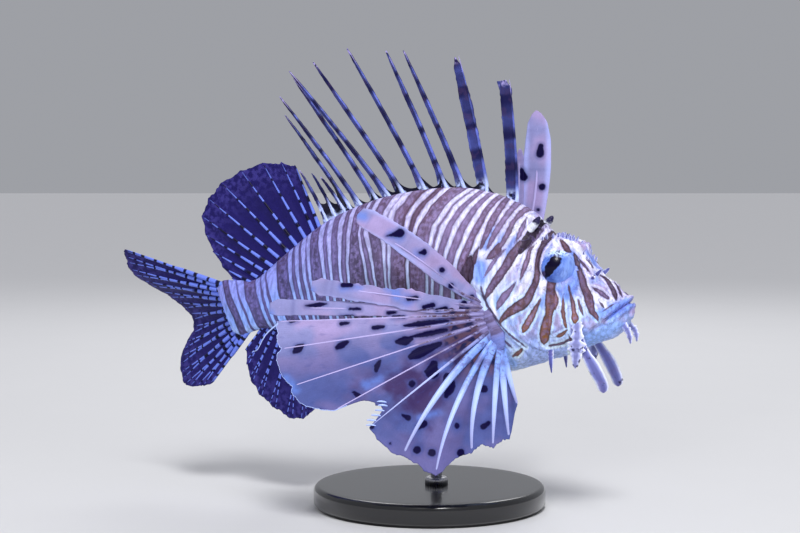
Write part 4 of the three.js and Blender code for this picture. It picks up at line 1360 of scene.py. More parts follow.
leftPectoralPlan = {
    "rays": [
        (104, 93, 16), (84, 88, 15.5),
        *[(96 - 4.6 * k, 14 - 5.4 * k, 27 + 1.1 * k) for k in range(12)],
    ],
    "bows": {0: (10, 4, 0)},
    "rims": {2: -12, 3: -12},
    "rimSeed": 31,
    "webbed": 2,
    "columns": 16,
    "rows": 110,
    "billow": 0.8,
    "lowWebs": [(0.5, 0.1, 1, 40), (0.1, 0.0, 1, 12)],
    "blades": [
        {
            "parts": leftParts,
            "before": (2, 4, 6.8, 7.6, 7.2, 5.4, 2.4, 0.4),
            "after": (2, 4, 7.4, 8.4, 6.8, 5.2, 2.4, 0.4),
            "columns": 20, "rows": 120, "wave": 0.5,
        },
        {
            "parts": leftParts,
            "before": (2, 3, 3.2, 3.2, 3, 2.6, 1.4, 0.4),
            "after": (2, 3, 3.2, 3.4, 3, 2.6, 1.4, 0.4),
            "columns": 12, "rows": 100, "wave": 0.4,
        },
    ],
    "bones": [
        ((0, 1), (1.4, 1.0, 0.8, 0.6, 0.3), 0.95, 0.7, 0.0),
        (range(2, 8), (1.4, 1.0, 0.75, 0.6, 0.4), 0.99, 0.7, 0.0),
        (range(8, 14), (1.5, 1.7, 1.5, 1.1, 0.7), 1.0, 0.6, 0.0),
    ],
}
pectoralPlan = {
    "bow": 4,
    "rim": -3,
    "ragged": 0.7,
    "skinHalf": 0.2,  # half the thickness of the web, and of the free rays' skins
    "bladeHalf": 0.25,
    "hiddenSpacing": 17.0,  # between the spots of the left fin's hidden part
    "hiddenSeed": 5,
    "deepNotch": -8,  # rims cut deeper than this are cut square
    "flesh": (4.6, 3.0, 14.0),  # half sizes of the fleshy base
    "fleshOut": 0.6,
}
# threads on the rim of the right fin
threadPlan = {
    "paleRim": (3.0, 6.05),  # the ray numbers that the pale edge runs between
    "rimRadius": 0.24,
    # a curled thread at the corner, across and up in the picture
    "curl": [(0, 0), (-5.4, -4.8), (-8.0, -8.6), (-10.4, -13.2), (-13.2, -14.4)],
    "curlAt": 8,  # which point of the pale edge it grows from
    "curlRadii": (0.42, 0.12),
    # pleats that stand out of the rim between two ray numbers, at heights in the photograph's pixels
    "pleats": (405, 410, 415, 420, 425, 430),
    "pleatRays": (6.7, 7.3),
    "pleatLength": 4.8,
    "pleatPoints": 14,
}


def pectoralRays(side, plan):
    rays = []
    roots = np.linspace(*pectoralRoots, len(plan["rays"]))
    for k, ((x, z), (reach, turn, out)) in enumerate(zip(roots, plan["rays"])):
        root = np.array((x, side * (float(flank(x, z)) - 1), z))
        turn = math.radians(turn)
        out = math.radians(out)
        flat = reach * math.cos(out)
        away = (-flat * math.cos(turn), side * reach * math.sin(out), flat * math.sin(turn))
        rays.append(makeRay(root, root + away, plan["bows"].get(k, (0, side * pectoralPlan["bow"], 0))))
    return np.array(rays)


# Dark spots and streaks of the right fin, as lines in the photograph's pixels with widths
pectoralSpots = [
    [(386, 236, 1), (393, 235, 4), (400, 233, 9)], [(420, 253, 3), (424, 252, 6)], [(442, 270, 6)],
    [(451, 286, 6)], [(343, 285, 5), (351, 285, 5)], [(408, 299, 4), (416, 298, 5)],
    [(424, 307, 4), (433, 305, 5)], [(437, 310, 4), (446, 308, 4)], [(464, 303, 6)], [(472, 297, 5)],
    [(306, 306, 2), (318, 305, 5), (326, 304, 2)], [(350, 309, 3), (360, 309, 3)],
    [(388, 313, 4), (396, 312, 3)], [(341, 317, 3), (353, 316, 3)], [(393, 317, 3), (404, 317, 3)],
    [(291, 321, 5), (297, 320, 3)], [(341, 324, 4), (348, 323, 3)], [(374, 328, 5), (383, 327, 4)],
    [(404, 326, 2), (420, 324, 6), (448, 321, 3)], [(410, 337, 2), (427, 334, 6), (446, 330, 4)],
    [(397, 342, 5), (405, 341, 10), (411, 339, 5)],
    [(411, 357, 6), (417, 354, 11), (426, 350, 10), (440, 344, 5)],
    [(294, 352, 4), (298, 349, 9), (303, 345, 3)], [(337, 348, 4), (342, 345, 7), (348, 342, 3)],
    [(376, 372, 3), (377, 367, 6), (380, 361, 3)], [(353, 392, 3), (358, 396, 6)],
    [(317, 411, 5), (323, 412, 5)], [(434, 364, 8), (432, 372, 14)], [(412, 384, 7)],
    [(447, 377, 8), (449, 387, 13), (446, 396, 5)], [(402, 415, 2), (408, 418, 6)],
    [(418, 427, 6), (424, 424, 7)], [(457, 426, 6)], [(484, 389, 8)], [(483, 427, 6), (489, 423, 4)],
    [(432, 453, 8)], [(461, 453, 8)], [(417, 450, 8)], [(422, 475, 8)], [(381, 453, 7)], [(365, 419, 4)],
    [(372, 427, 5)], [(426, 372, 4)], [(390, 444, 3)], [(450, 375, 3), (452, 383, 3)],
]
# and its bluer patches
pectoralBlue = [
    [(357, 215, 8), (364, 217, 10)], [(307, 288, 8), (312, 290, 6)], [(264, 316, 10), (270, 313, 8)],
    [(387, 287, 8), (398, 294, 14), (408, 300, 12)], [(286, 380, 10), (295, 389, 10)],
    [(392, 234, 10), (399, 236, 12)], [(416, 253, 8), (423, 255, 8)], [(360, 287, 6), (342, 288, 8)],
    [(366, 385, 10), (380, 380, 8)], [(420, 418, 6), (440, 412, 4)], [(447, 365, 10), (430, 372, 6)],
]
# spots of the lobe that stands up on the left, and of the parts of the left fin that are out of sight
leftSpots = [
    [(541, 146, 5), (540, 154, 8)], [(542, 187, 7)], [(522, 170, 4), (524, 177, 8)], [(538, 210, 4)],
]


# how far inside a spot points are, and how blue they are there
def spotsIn(spots, blueLines=()):
    def inside(points):
        pixels = inPicture(points)
        deep = [insideLine(pixels, spot)[0] * cameraPlan["pixelSize"] for spot in spots]
        return np.maximum(np.max(deep, axis=0), noSpot[0]), softLines(pixels, blueLines, 4.0)

    return inside


# spots scattered over rays that the photograph doesn't show
def scatteredSpots(rays, first, spacing, seed):
    random = np.random.default_rng(seed)
    spots = []
    for k in range(first, len(rays)):
        for t in np.arange(0.3, 0.97, spacing / rayLength(rays, float(k))):
            number = min(k + random.uniform(-0.25, 0.45), len(rays) - 1)
            place = finPoint(rays, number, t + random.uniform(-0.03, 0.03))
            spots.append((place, random.uniform(1.2, 2.3)))

    def inside(points):
        best = np.full(points.shape[:-1], noSpot[0])
        for place, radius in spots:
            best = np.maximum(best, radius - np.linalg.norm(points - place, axis=-1))
        return best, noSpot[1]

    return inside


def rimReach(rays, rims, usual, ragged, seed):
    def reach(number):
        k = np.floor(np.minimum(number, len(rays) - 1.001)).astype(int)
        depth = np.array([rims.get(int(n), usual) for n in k])
        power = np.where(depth < pectoralPlan["deepNotch"], 5.0, 2.0)
        fray = ragged * (lumps(number[:, None], 0.11, seed) + 0.6 * lumps(number[:, None], 0.045, seed + 1))
        return 1 + (depth * (1 - nearRay(number) ** power) + fray) / rayLength(rays, number)

    return reach


# the lumpy flesh that the rays spring from, an egg shape along the line of their roots
def addFlesh(shape, side, rays):
    u = np.linspace(0, math.pi, 24)[:, None]
    v = np.linspace(0, 2 * math.pi, 36, endpoint=False)[None, :]
    egg = np.stack([np.sin(u) * np.cos(v), np.sin(u) * np.sin(v), np.cos(u) + 0 * v], -1)
    x, y, z = np.moveaxis(egg * pectoralPlan["flesh"], -1, 0)
    (topX, topZ), (lowX, lowZ) = pectoralRoots
    tilt = math.atan2(topX - lowX, topZ - lowZ)
    turned = (x * math.cos(tilt) + z * math.sin(tilt), y, z * math.cos(tilt) - x * math.sin(tilt))
    grid = np.stack(turned, -1) + rays[:, 0].mean(axis=0) + (0, side * pectoralPlan["fleshOut"], 0)
    number = np.interp(egg[..., 2], (-1, 1), (len(rays) - 1, 0))
    lumpy = 0.3 * np.cos(2 * math.pi * number) + 0.4 * lumps(grid, 3.0, 19)
    grid = grid + unitNormals(grid, closed=True) * lumpy[..., None]
    marks = finMarksAt(rays, number, 0.05)
    addPart(shape, grid, gridFaces(24, 36, closed=True).tolist(), marks.reshape(-1, len(finMarks)))


# a pale edge, a curled thread and short pleats on the right fin's rim, where it is cut between two lobes
def addThreads(shape, rays, reach):
    plan = threadPlan
    number = np.linspace(*plan["paleRim"], 260)
    edge = finPoint(rays, number, reach(number) - 0.002)
    paleMarks = finMarksAt(rays, np.full(len(edge), 9.0), 0.6)
    addTube(shape, edge, plan["rimRadius"], paleMarks, 6)
    curl = smoothLine(plan["curl"], 12)
    thread = edge[plan["curlAt"]] + curl[:, :1] * cameraRight + curl[:, 1:] * cameraUp
    addTube(shape, thread, np.linspace(*plan["curlRadii"], len(thread)), paleMarks[:len(thread)], 6)
    number = np.linspace(*plan["pleatRays"], 200)
    heights = inPicture(finPoint(rays, number, reach(number)))[:, 1]
    count = plan["pleatPoints"]
    along = np.linspace(0, 1, count)[:, None]
    radii = 0.15 + 0.4 * np.sin(np.linspace(0.2, 3.0, count))
    for number in np.interp(plan["pleats"], heights, number):
        start = finPoint(rays, number, float(reach(np.array([number]))[0]) - 0.04)
        pleat = start - cameraRight * plan["pleatLength"] * along + cameraUp * 0.5 * np.sin(along * 2.4)
        addTube(shape, pleat, radii, paleMarks[:count], 8)


def makePectoral(side, name, plan, rays, webSpots, freeSpots):
    skin = newShape()
    bones = newShape()
    reach = rimReach(rays, plan["rims"], pectoralPlan["rim"], pectoralPlan["ragged"], plan["rimSeed"])
    half = pectoralPlan["skinHalf"]
    web = (plan["webbed"], len(rays) - 1, reach, half, plan["columns"], plan["rows"])
    addMembrane(skin, rays, *web, webSpots, plan["billow"])
    for k, (high, dip, power, rows) in enumerate(plan["lowWebs"]):
        def lowReach(number):
            return high * (1 - dip + dip * nearRay(number) ** power)

        addMembrane(skin, rays, k, k + 1, lowReach, half, 12, rows, freeSpots)
    for k, blade in enumerate(plan["blades"]):
        addBlade(skin, rays, k, half=pectoralPlan["bladeHalf"], spotsAt=freeSpots, **blade)
    for numbers, radii, end, thin, shift in plan["bones"]:
        addRays(bones, rays, numbers, radii, end, thin=thin, shift=shift)
    if side < 0:
        addThreads(bones, rays, reach)
    addFlesh(skin, side, rays)
    names = (name + "_pectoral_skin", name + "_pectoral_rays")
    buildFin(names, skin, bones, ("paleSkin", "paleRay"), "pectoral_fin_" + name)


pelvicPlan = {
    # root and tip of the outermost ray and of the innermost, on the left
    "outer": [(38, 10.5, 79.5), (-18, 28, 66)],
    "inner": [(36, 4, 81), (-34, 10, 70)],
    "count": 6,
    "bow": (0, 2, -3),
    "radii": (1.2, 1.1, 0.9, 0.65, 0.35),
    "fork": 0.16,
    "rim": -2.4,
    "ragged": 0.5,
    "rimSeed": 41,
    "spotSpacing": 14.0,
    "spotSeed": 7,
}


def makePelvic(side, name):
    plan = pelvicPlan
    mirror = np.array((1, side, 1))
    ends = np.linspace(plan["outer"], plan["inner"], plan["count"]) * mirror
    rays = np.array([makeRay(root, tip, plan["bow"] * mirror) for root, tip in ends])
    skin = newShape()
    bones = newShape()
    reach = rimReach(rays, {}, plan["rim"], plan["ragged"], plan["rimSeed"])
    spots = scatteredSpots(rays, 0, plan["spotSpacing"], plan["spotSeed"])
    addMembrane(skin, rays, 0, len(rays) - 1, reach, 0.18, 14, 70, spots, billow=0.5)
    addRays(bones, rays, range(len(rays)), plan["radii"], 1.0, 50, thin=0.7, fork=plan["fork"])
    names = (name + "_pelvic_skin", name + "_pelvic_rays")
    buildFin(names, skin, bones, ("paleSkin", "paleRay"), "pelvic_fin_" + name)


paleColours = {
    "skin": colour(0.62, 0.56, 0.74),
    "pink": colour(0.57, 0.51, 0.68),
    "blue": colour(0.53, 0.53, 0.72),
    "shade": colour(0.32, 0.32, 0.53),
    "shadeBlue": colour(0.24, 0.29, 0.52),
    "deep": colour(0.23, 0.18, 0.35),
    "smear": colour(0.22, 0.26, 0.50),
    "tip": colour(0.35, 0.46, 0.76),
    "edge": colour(0.68, 0.72, 0.97),
    "spot": colour(0.05, 0.03, 0.20),
    "base": colour(0.30, 0.22, 0.30),
    "navy": colour(0.10, 0.10, 0.24),
    "ray": colour(0.66, 0.74, 0.97),
    "thinRay": colour(0.66, 0.62, 0.82),
    "rayBase": colour(0.50, 0.62, 0.90),
    "rayShade": colour(0.38, 0.41, 0.64),
    "fleshPale": colour(0.52, 0.50, 0.70),
    "fleshLow": colour(0.45, 0.50, 0.76),
}


def paleSkinMaterial():
    material, nodes = newMaterial("pale_fin_skin", paleColours, Roughness=0.5, Specular_IOR_Level=0.05)
    ray, reach, part, across, spot, blue = map(nodes.marked, finMarks)
    patches = nodes.grain(22.0).ranged(0.4, 0.6)
    shaded = nodes.mix(patches, "shade", "shadeBlue")
    tone = nodes.mix(patches, "skin", "blue")
    tone = tone.under(ray.ranged(3.3, 4.9) * 0.78 + 0.12, shaded)
    pink = part.ranged(0.75, 0.3) * nodes.grain(15.0).ranged(0.45, 0.62)
    tone = tone.under(pink * ray.ranged(6.0, 4.0), "pink")
    # painted shade, darkest between the two lobes of the right fin
    middle = ray.ranged(4.8, 6.2) * part.ranged(1.0, 0.7) * ray.ranged(9.2, 7.6, 0.25, 1.0)
    tone = tone.under(middle * nodes.grain(12.0, 3.0).ranged(0.3, 0.6), "deep")
    # brown streaks beside the rays near the root
    streak = ray.math("PINGPONG", 0.5).ranged(0.12, 0.3) * part.ranged(0.4, 0.2)
    brown = nodes.mix(nodes.grain(5.0).ranged(0.45, 0.6), "base", "navy")
    tone = tone.under(streak, brown)
    # the fleshy base has uneven bands of brown, mauve and pale blue
    uneven = nodes.noiseOver(ray, nodes.grain(6.0) * 3.0, 0.9, 3.0)
    fleshy = nodes.mix(ray.ranged(7.5, 10.0), "fleshPale", "fleshLow")
    flesh = nodes.mix(uneven.ranged(0.35, 0.65, 0.35, 1.0), "base", fleshy)
    tone = tone.under(part.ranged(0.09, 0.06), flesh)
    smears = nodes.noiseOver(reach * 0.05, ray * 2.2, 2.4, 2.0)
    tone = tone.under(smears.ranged(0.58, 0.75) * 0.3, "smear")
    # the skins of the free rays are paler along their edges
    beside = abs(across).ranged(3.4, 6.4) * 0.5
    tone = tone.under(beside * part.ranged(0.3, 0.6), "edge")
    cloudy = nodes.grain(5.0, 3.0).ranged(0.25, 0.6, 0.2, 0.75)
    tone = tone.under(blue * cloudy, "tip")
    tone = tone.under(spot.ranged(-2.2, 0.2, 0.0, 0.5), "smear")
    edged = {"Distance": spot, "Softness": 0.42, "Wobble": 1.1, "Wobble Size": 1.8}
    tone = tone.under(nodes.group(softEdge, edged), "spot")
    nodes.paint(tone, 0.5, 5.0, 0.7)
    at = nodes.add("CombineXYZ", {"X": ray})
    lines = nodes.add("TexWave", {"Vector": at, "Scale": 4.0, "Distortion": 1.5}, "Fac")
    nodes.bump(lines * 0.7 + nodes.grain(0.9), 0.3, 0.15)
    return material


def paleRayMaterial():
    material, nodes = newMaterial("pale_fin_ray", paleColours, Roughness=0.4, Specular_IOR_Level=0.3)
    ray, reach, part = map(nodes.marked, finMarks[:3])
    thin = nodes.mix(ray.ranged(6.4, 7.4), "thinRay", "ray")
    streaks = nodes.noiseOver(reach * 0.05, ray * 3.0 + nodes.grain(2.0), 2.0, 2.0).ranged(0.42, 0.62)
    base = nodes.mix(streaks, "rayBase", "rayShade")
    base = base.under(ray.ranged(7.6, 6.6), nodes.mix(streaks, "fleshPale", "base"))
    tone = thin.under(part.ranged(0.5, 0.25), base)
    # the ends of the strong rays sink into the colour of the skin
    sunk = part.ranged(0.5, 0.97) * ray.ranged(6.6, 7.4) * 0.85
    nodes.paint(tone.under(sunk, "blue"), 0.35, 5.0)
    nodes.bump(nodes.grain(0.8), 0.3, 0.12)
    return material


materials["paleSkin"] = paleSkinMaterial()
materials["paleRay"] = paleRayMaterial()
rightRays = pectoralRays(-1, rightPectoralPlan)
rightSpots = spotsIn(pectoralSpots, pectoralBlue)
makePectoral(-1, "right", rightPectoralPlan, rightRays, rightSpots, rightSpots)
leftRays = pectoralRays(1, leftPectoralPlan)
hiddenDraw = (pectoralPlan["hiddenSpacing"], pectoralPlan["hiddenSeed"])
hiddenSpots = scatteredSpots(leftRays, leftPectoralPlan["webbed"], *hiddenDraw)
makePectoral(1, "left", leftPectoralPlan, leftRays, hiddenSpots, spotsIn(leftSpots))
makePelvic(-1, "right")
makePelvic(1, "left")
print("paired fins made")


# eyes

eyeMarks = ("polar", "around", "pupil", "stripe", "front")
eyeColours = {
    "iris": colour(0.36, 0.50, 0.84),
    "irisDeep": colour(0.22, 0.32, 0.66),
    "pale": colour(0.78, 0.86, 0.98),
    "stripe": colour(0.24, 0.17, 0.26),
    "front": colour(0.56, 0.68, 0.95),
    "rim": colour(0.24, 0.24, 0.42),
    "pupil": colour(0.02, 0.0, 0.12),
}


def eyeMaterial():
    sockets = {"Roughness": 0.35, "Specular_IOR_Level": 0.12, "Coat_Weight": 0.15, "Coat_Roughness": 0.04}
    material, nodes = newMaterial("eye", eyeColours, **sockets)
    polar, around, pupil, stripe, front = map(nodes.marked, eyeMarks)
    iris = nodes.mix(nodes.grain(5.0, 3.0).ranged(0.35, 0.65), "iris", "irisDeep")
    rays = nodes.noiseOver(around * 9.0, polar, 1.6, 3.0)
    iris = iris.under(rays.ranged(0.5, 0.75) * 0.25, "pale")
    iris = iris.under(stripe.ranged(-0.3, 0.5) * 0.85, "stripe")
    front = front.ranged(1.0, 7.0)
    streaks = nodes.grain(1.8, 3.0, (1.0, 1.0, 0.25)).ranged(0.35, 0.65, 0.35, 0.95)
    iris = iris.under(front * streaks, "front")
    iris = iris.under(polar.ranged(50.0, 60.0) * (1.0 - front) * 0.4, "rim")
    # painted highlight: under the brow the eye is painted white with blue specks
    high = nodes.add("SeparateXYZ", {0: nodes.placed()}, 2)
    highlightSpecks = high.ranged(0.1345, 0.138) * nodes.grain(1.2).ranged(0.40, 0.55)
    iris = iris.under(highlightSpecks, "pale")
    iris = iris.under(pupil.ranged(-1.1, -0.35) * front * 0.5, "pale")
    nodes.toShader(iris.under(pupil.ranged(-0.2, 0.2), "pupil"), "Base Color")
    return material


# marks of the eye at places on its front, as far ahead and up from the middle as flatX and flatZ say
def eyeMarksAt(polar, around, flatX, flatZ):
    lean = math.radians(eyePlan["pupilLean"])
    ahead = flatX + eyePlan["pupilBack"]
    along = ahead * math.cos(lean) + flatZ * math.sin(lean)
    beside = flatZ * math.cos(lean) - ahead * math.sin(lean)
    places = np.stack([flatX, flatZ], -1)
    # the pupil is drawn out along the dark stripe that crosses the eye, further downwards
    length = np.maximum((along - 1.2) / 1.7, (1.2 - along) / 2.7)
    pupil = eyePlan["pupilRadius"] - np.hypot(length, beside)
    pupil = pupil + 0.7 * lumps(places, 2.6, 12) + 0.3 * lumps(places, 1.1, 15)
    stripe = eyePlan["stripeHalf"] - np.abs(beside - 0.03 * along**2) + 0.5 * lumps(places, 1.3, 13)
    onFront = np.cos(polar) > 0
    turned = around / (2 * math.pi)
    marks = [np.degrees(polar), turned, np.where(onFront, pupil, -5), np.where(onFront, stripe, -5)]
    return np.stack(np.broadcast_arrays(*marks, flatX - 0.5 * flatZ), -1)


def makeEye(side, name):
    radius = eyePlan["radius"]
    out = np.array(eyePlan["gaze"]) * (1, side, 1)
    out /= np.linalg.norm(out)
    ahead = np.array((1.0, 0, 0)) - out[0] * out
    ahead /= np.linalg.norm(ahead)
    up = np.cross(out, ahead) * -side
    polar = np.linspace(0.001, math.pi * 0.999, 90)[:, None]
    around = np.linspace(0, 2 * math.pi, 96, endpoint=False)[None, :]
    flatX = np.sin(polar) * np.cos(around) * radius
    flatZ = np.sin(polar) * np.sin(around) * radius
    bulge = radius * (1 + 0.06 * hump(np.degrees(polar), 34.0))
    grid = eyeMiddle(side) + flatX[..., None] * ahead + flatZ[..., None] * up
    grid = grid + (np.cos(polar) * bulge)[..., None] * out
    shape = newShape()
    addRings(shape, grid, eyeMarksAt(polar, around, flatX, flatZ).reshape(-1, len(eyeMarks)))
    buildMesh(name + "_eye", shape, eyeMarks, materials["eye"], ("eye_" + name,))


materials["eye"] = eyeMaterial()
makeEye(-1, "right")
makeEye(1, "left")
print("eyes made")


# growths of the head

browLine = [(66, 145.2), (71, 146.8), (76, 146.4), (81, 144.2), (86, 138.8), (89.5, 134)]
thornCount = 13
growthMarks = ("part", "spots", "pale", "edge")
# the growths of each side, each line with x, z, out from the skin and radius from root to tip
headGrowths = [
    # spine of the nape
    {
        "line": [(58, 148, -2, 2.4), (62.5, 152.6, -0.8, 1.9), (64.6, 155.6, -0.4, 0.7)],
        "spots": -1.0, "seed": 5,
    },
    # nostril
    {"line": [(91.8, 124.2, -2, 1.3), (92.6, 125.8, 0, 1.0)], "seed": 6},
    # tentacle of the nose
    {
        "line": [(92.5, 125.6, -2, 1.5), (94.6, 127.4, 0.4, 1.2), (96.2, 129.0, 0.8, 0.5)],
        "thin": 0.6, "spots": 0.3, "seed": 7,
    },
    # leaf below the lips
    {
        "line": [
            (85.5, 95.5, -3, 1.8), (89, 88.5, 1.6, 2.4), (94.5, 80, 2.4, 3.4), (98.6, 72, 2, 3.2),
            (99.6, 67.2, 2, 2.1),
        ],
        "thin": 0.2, "ragged": 0.1, "spots": 0.3, "pale": 0.3, "seed": 8, "sides": 36,
    },
    # flap of the cheek
    {
        "line": [
            (85.2, 104, -2, 1.6), (86.2, 97, 0.8, 3.2), (86, 89, 1.6, 3.6), (85.6, 82.5, 1.5, 1.9),
            (85.2, 79, 1.2, 0.4),
        ],
        "thin": 0.25, "ragged": 0.45, "spots": 0.5, "pale": 1.0, "seed": 9, "sides": 32,
    },
    # spine of the cheek
    {
        "line": [(70.5, 88.5, -2, 1.8), (71.4, 82.4, 0.6, 1.3), (71.9, 75.8, 1, 0.3)],
        "thin": 0.7, "ragged": 0.2, "seed": 10,
    },
]
barbel = {
    "line": [
        (106.6, 101.6, -2.4, 1.8), (109.6, 98.4, 0.2, 1.7), (110.9, 95, 0.6, 1.4), (111.2, 91.6, 0.4, 0.4),
    ],
    "thin": 0.35, "ragged": 0.3, "spots": 0.3, "pale": 0.7, "seed": 11,
}


# a growth as a tapered tube with a few lumps, flattened by thin
def addGrowth(shape, side, line, seed, thin=1.0, ragged=0.12, spots=0.0, pale=0.0, sides=20, steps=40):
    places = np.array(line, float)
    y = float(flank(places[0, 0], places[0, 1]))
    path = np.stack([places[:, 0], side * (y + places[:, 2]), places[:, 1]], -1)
    radii = smoothLine(places[:, 3:], steps)[:, 0]
    part = np.linspace(0, 1, len(radii))
    radii = radii * (1 + ragged * lumpsAlong(part * 30, seed, 14, 1.6))
    radii = radii * np.sqrt(1 - 0.93 * smooth(0.9, 1.0, part))
    marks = np.stack(np.broadcast_arrays(part, spots, pale), -1)
    addTube(shape, smoothLine(path, steps), radii, marks, sides, thin, markEdge=True)


# a row of small thorns along the brow
def addThorns(shape, side):
    random = np.random.default_rng(3)
    for n, (x, z) in enumerate(spread(browLine, thornCount)):
        high = random.uniform(0.3, 1.2)
        out = random.uniform(-0.6, 1.0)
        root = (x - 0.5, z - 2.4, out - 1, 1.0)
        line = [root, (x, z - 0.3, out, 0.6), (x + 0.4, z + high, out + 0.2, 0.1)]
        addGrowth(shape, side, line, n, spots=0.3, pale=0.6, sides=10, steps=8)


def makeGrowths():
    head = newShape()
    jaw = newShape()
    for side in (-1, 1):
        addThorns(head, side)
        for growth in headGrowths:
            addGrowth(head, side, **growth)
        addGrowth(jaw, side, **barbel)
    buildMesh("head_growths", head, growthMarks, materials["growth"], ("head",))
    buildMesh("chin_barbels", jaw, growthMarks, materials["growth"], ("lower_jaw",))


growthColours = {
    "pale": colour(0.38, 0.41, 0.70),
    "tip": colour(0.26, 0.26, 0.52),
    "dark": colour(0.12, 0.10, 0.26),
    "tan": colour(0.42, 0.34, 0.50),
    "bright": colour(0.90, 0.92, 0.99),
    "frill": colour(0.72, 0.74, 0.95),
}


def growthMaterial():
    material, nodes = newMaterial("head_growth", growthColours, Roughness=0.38, Specular_IOR_Level=0.3)
    part, spots, pale, edge = map(nodes.marked, growthMarks)
    tone = nodes.mix(part.ranged(0.4, 1.0), "pale", "tip")
    tone = tone.under(nodes.grain(4.0).ranged(0.5, 0.62) * 0.5, "tan")
    tone = tone.under(pale * nodes.grain(3.0, 3.0).ranged(0.3, 0.6, 0.6, 1.0), "frill")
    # leaves are darker along their middles, with a pale edge
    edge = edge + nodes.grain(6.0, 1.0) * 0.25
    tone = tone.under(edge.ranged(0.75, 0.35, 0.0, 0.6), "tip")
    tone = tone.under(edge.ranged(0.72, 1.05, 0.0, 0.75), "bright")
    limit = 0.7 - spots * part.ranged(0.65, 0.85, 0.13, 0.33)
    tone = tone.under((nodes.grain(3.4) - limit).ranged(-0.05, 0.08), "dark")
    # the spines of the nape have a painted highlight, white at the root, and are nearly black at the tip
    upward = (part + nodes.grain(2.0) * 0.5).ranged(0.55, 0.85)
    highlightRootDarkTip = nodes.mix(upward, "bright", "dark")
    nodes.paint(tone.under(spots.math("LESS_THAN", -0.5), highlightRootDarkTip), 0.3, 4.0)
    nodes.bump(nodes.grain(0.8, 3.0), 0.25, 0.15)
    return material


materials["growth"] = growthMaterial()
makeGrowths()
print("head growths made")


# stand

standPlan = {
    "baseRadius": 62.0,
    "baseHeight": 12.0,
    "edge": 3.0,
    # the foot: how far it is set in, and how high
    "foot": [(2.0, 0.0), (2.0, 1.2), (0.8, 1.6), (0.0, 2.6)],
    "sides": 160,
    "rodX": 4.0,
    "rodRadius": 3.0,
    "rodTop": 80.0,
    "rodRings": (30.0, 50.0),
    "rodSides": 48,
    "collarRadius": 6.2,
    "collarHeight": 4.0,
    "collarEdge": 1.4,
    "lacquer": colour(0.06, 0.06, 0.07),
    "steel": colour(0.72, 0.72, 0.74),
}


# a solid turned about an upright line
def addTurned(shape, profile, x, sides):
    turn = np.linspace(0, 2 * math.pi, sides, endpoint=False)
    radius, z = np.transpose(profile)[:, :, None]
    grid = np.stack(np.broadcast_arrays(x + radius * np.cos(turn), radius * np.sin(turn), z), -1)
    addRings(shape, grid, (0.0,))


def roundedEdge(radius, top, curve, steps=8):
    turn = np.linspace(0, math.pi / 2, steps)
    return [(radius - curve + curve * math.cos(a), top - curve + curve * math.sin(a)) for a in turn]


def makeStand():
    plan = standPlan
    radius = plan["baseRadius"]
    height = plan["baseHeight"]
    base = newShape()
    profile = [(radius - inset, high) for inset, high in plan["foot"]]
    profile += roundedEdge(radius, height, plan["edge"]) + [(radius - 8, height), (5, height)]
    addTurned(base, profile, 0.0, plan["sides"])
    buildMesh("base", base, ("none",), materials["base"], ("stand_base",))
    rod = newShape()
    thin = plan["rodRadius"]
    top = plan["rodTop"]
    profile = [(thin, z) for z in (height - 1, *plan["rodRings"], top - 1)]
    addTurned(rod, profile + [(thin - 0.6, top)], plan["rodX"], plan["rodSides"])
    collarTop = height + plan["collarHeight"]
    wide = plan["collarRadius"]
    collar = [(wide, height), *roundedEdge(wide, collarTop, plan["collarEdge"]), (thin + 0.3, collarTop)]
    addTurned(rod, collar, plan["rodX"], plan["rodSides"])
    buildMesh("rod", rod, ("none",), materials["rod"], ("stand_rod",))


def baseMaterial():
    sockets = {"Roughness": 0.22, "Coat_Weight": 0.6, "Coat_Roughness": 0.06}
    material, nodes = newMaterial("black_lacquer", standPlan, **sockets)
    nodes.paint("lacquer", 0.5, 12.0)
    nodes.bump(nodes.grain(3.0), 0.05, 0.1)
    return material


def rodMaterial():
    material, nodes = newMaterial("brushed_steel", standPlan, Metallic=1.0, Roughness=0.3)
    nodes.paint("steel", 0.2, 10.0)
    brushed = nodes.grain(0.6, stretch=(1, 1, 0.03))
    nodes.toShader(brushed.ranged(0.3, 0.7, 0.24, 0.4), "Roughness")
    return material


materials["base"] = baseMaterial()
materials["rod"] = rodMaterial()
makeStand()
print("stand made")


# floor and lights

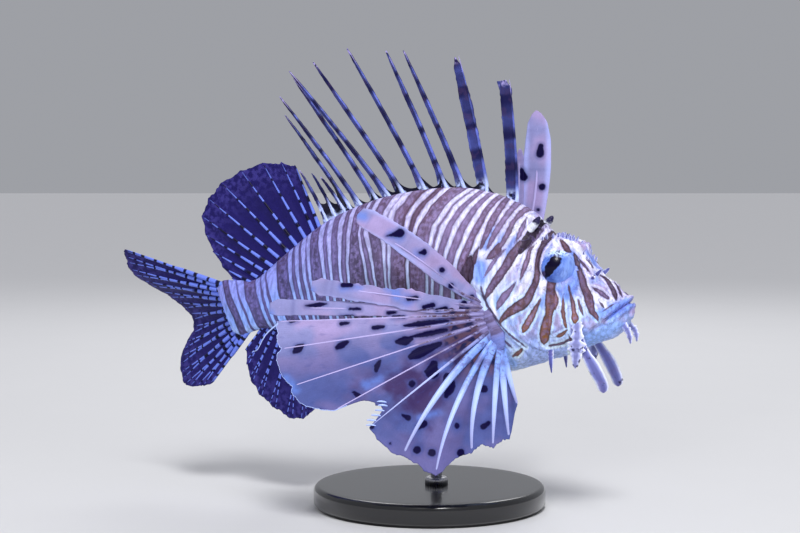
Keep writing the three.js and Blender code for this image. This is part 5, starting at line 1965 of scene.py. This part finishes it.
studioPlan = {
    "floorSize": 30.0,
    "floor": colour(0.80, 0.80, 0.81),
    "world": colour(0.86, 0.87, 0.90),
    "worldStrength": 0.48,
    "target": (0.0, 0.0, 0.12),  # what the lamps face, in metres
    "sunFrom": (0.4, -0.75, 1.25),
    "sunAngle": 16.0,
    "sunStrength": 1.5,
    # name, place in metres, size in metres, watts, whether it shows in reflections
    "lights": [
        ("key_light", (0.45, -0.75, 1.2), 0.35, 6.0, True),
        ("fill_light", (0.15, -1.7, 0.7), 0.6, 11.0, False),
        ("rim_light", (-0.35, 1.1, 1.1), 0.8, 6.0, True),
        ("head_light", (1.1, -0.6, 0.45), 0.4, 2.4, False),
    ],
}


def makeFloor():
    size = studioPlan["floorSize"]
    mesh = bpy.data.meshes.new("floor")
    corners = [(-size, -size, 0), (size, -size, 0), (size, size, 0), (-size, size, 0)]
    mesh.from_pydata(corners, [], [(0, 1, 2, 3)])
    material, nodes = newMaterial("pale_floor", studioPlan, Roughness=0.8)
    nodes.paint("floor", 0.04, 60.0)
    mesh.materials.append(material)
    floor = bpy.data.objects.new("floor", mesh)
    bpy.context.scene.collection.objects.link(floor)


# a lamp whose light comes from a direction
def addLamp(light, fromDirection):
    lamp = bpy.data.objects.new(light.name, light)
    lamp.rotation_mode = "QUATERNION"
    lamp.rotation_quaternion = Vector(fromDirection).to_track_quat("Z", "Y")
    bpy.context.scene.collection.objects.link(lamp)
    return lamp


def makeLights():
    world = bpy.data.worlds.new("studio")
    world.use_nodes = True
    background = world.node_tree.nodes["Background"]
    background.inputs[0].default_value = studioPlan["world"]
    background.inputs[1].default_value = studioPlan["worldStrength"]
    bpy.context.scene.world = world
    sun = bpy.data.lights.new("sun_light", "SUN")
    sun.energy = studioPlan["sunStrength"]
    sun.angle = math.radians(studioPlan["sunAngle"])
    addLamp(sun, studioPlan["sunFrom"])
    for name, place, size, watts, glossy in studioPlan["lights"]:
        light = bpy.data.lights.new(name, "AREA")
        light.size = size
        light.energy = watts
        lamp = addLamp(light, Vector(place) - Vector(studioPlan["target"]))
        lamp.location = place
        lamp.visible_camera = False
        lamp.visible_glossy = glossy


makeFloor()
makeLights()
bpy.context.scene.view_settings.view_transform = "Standard"
print("floor and lights set")
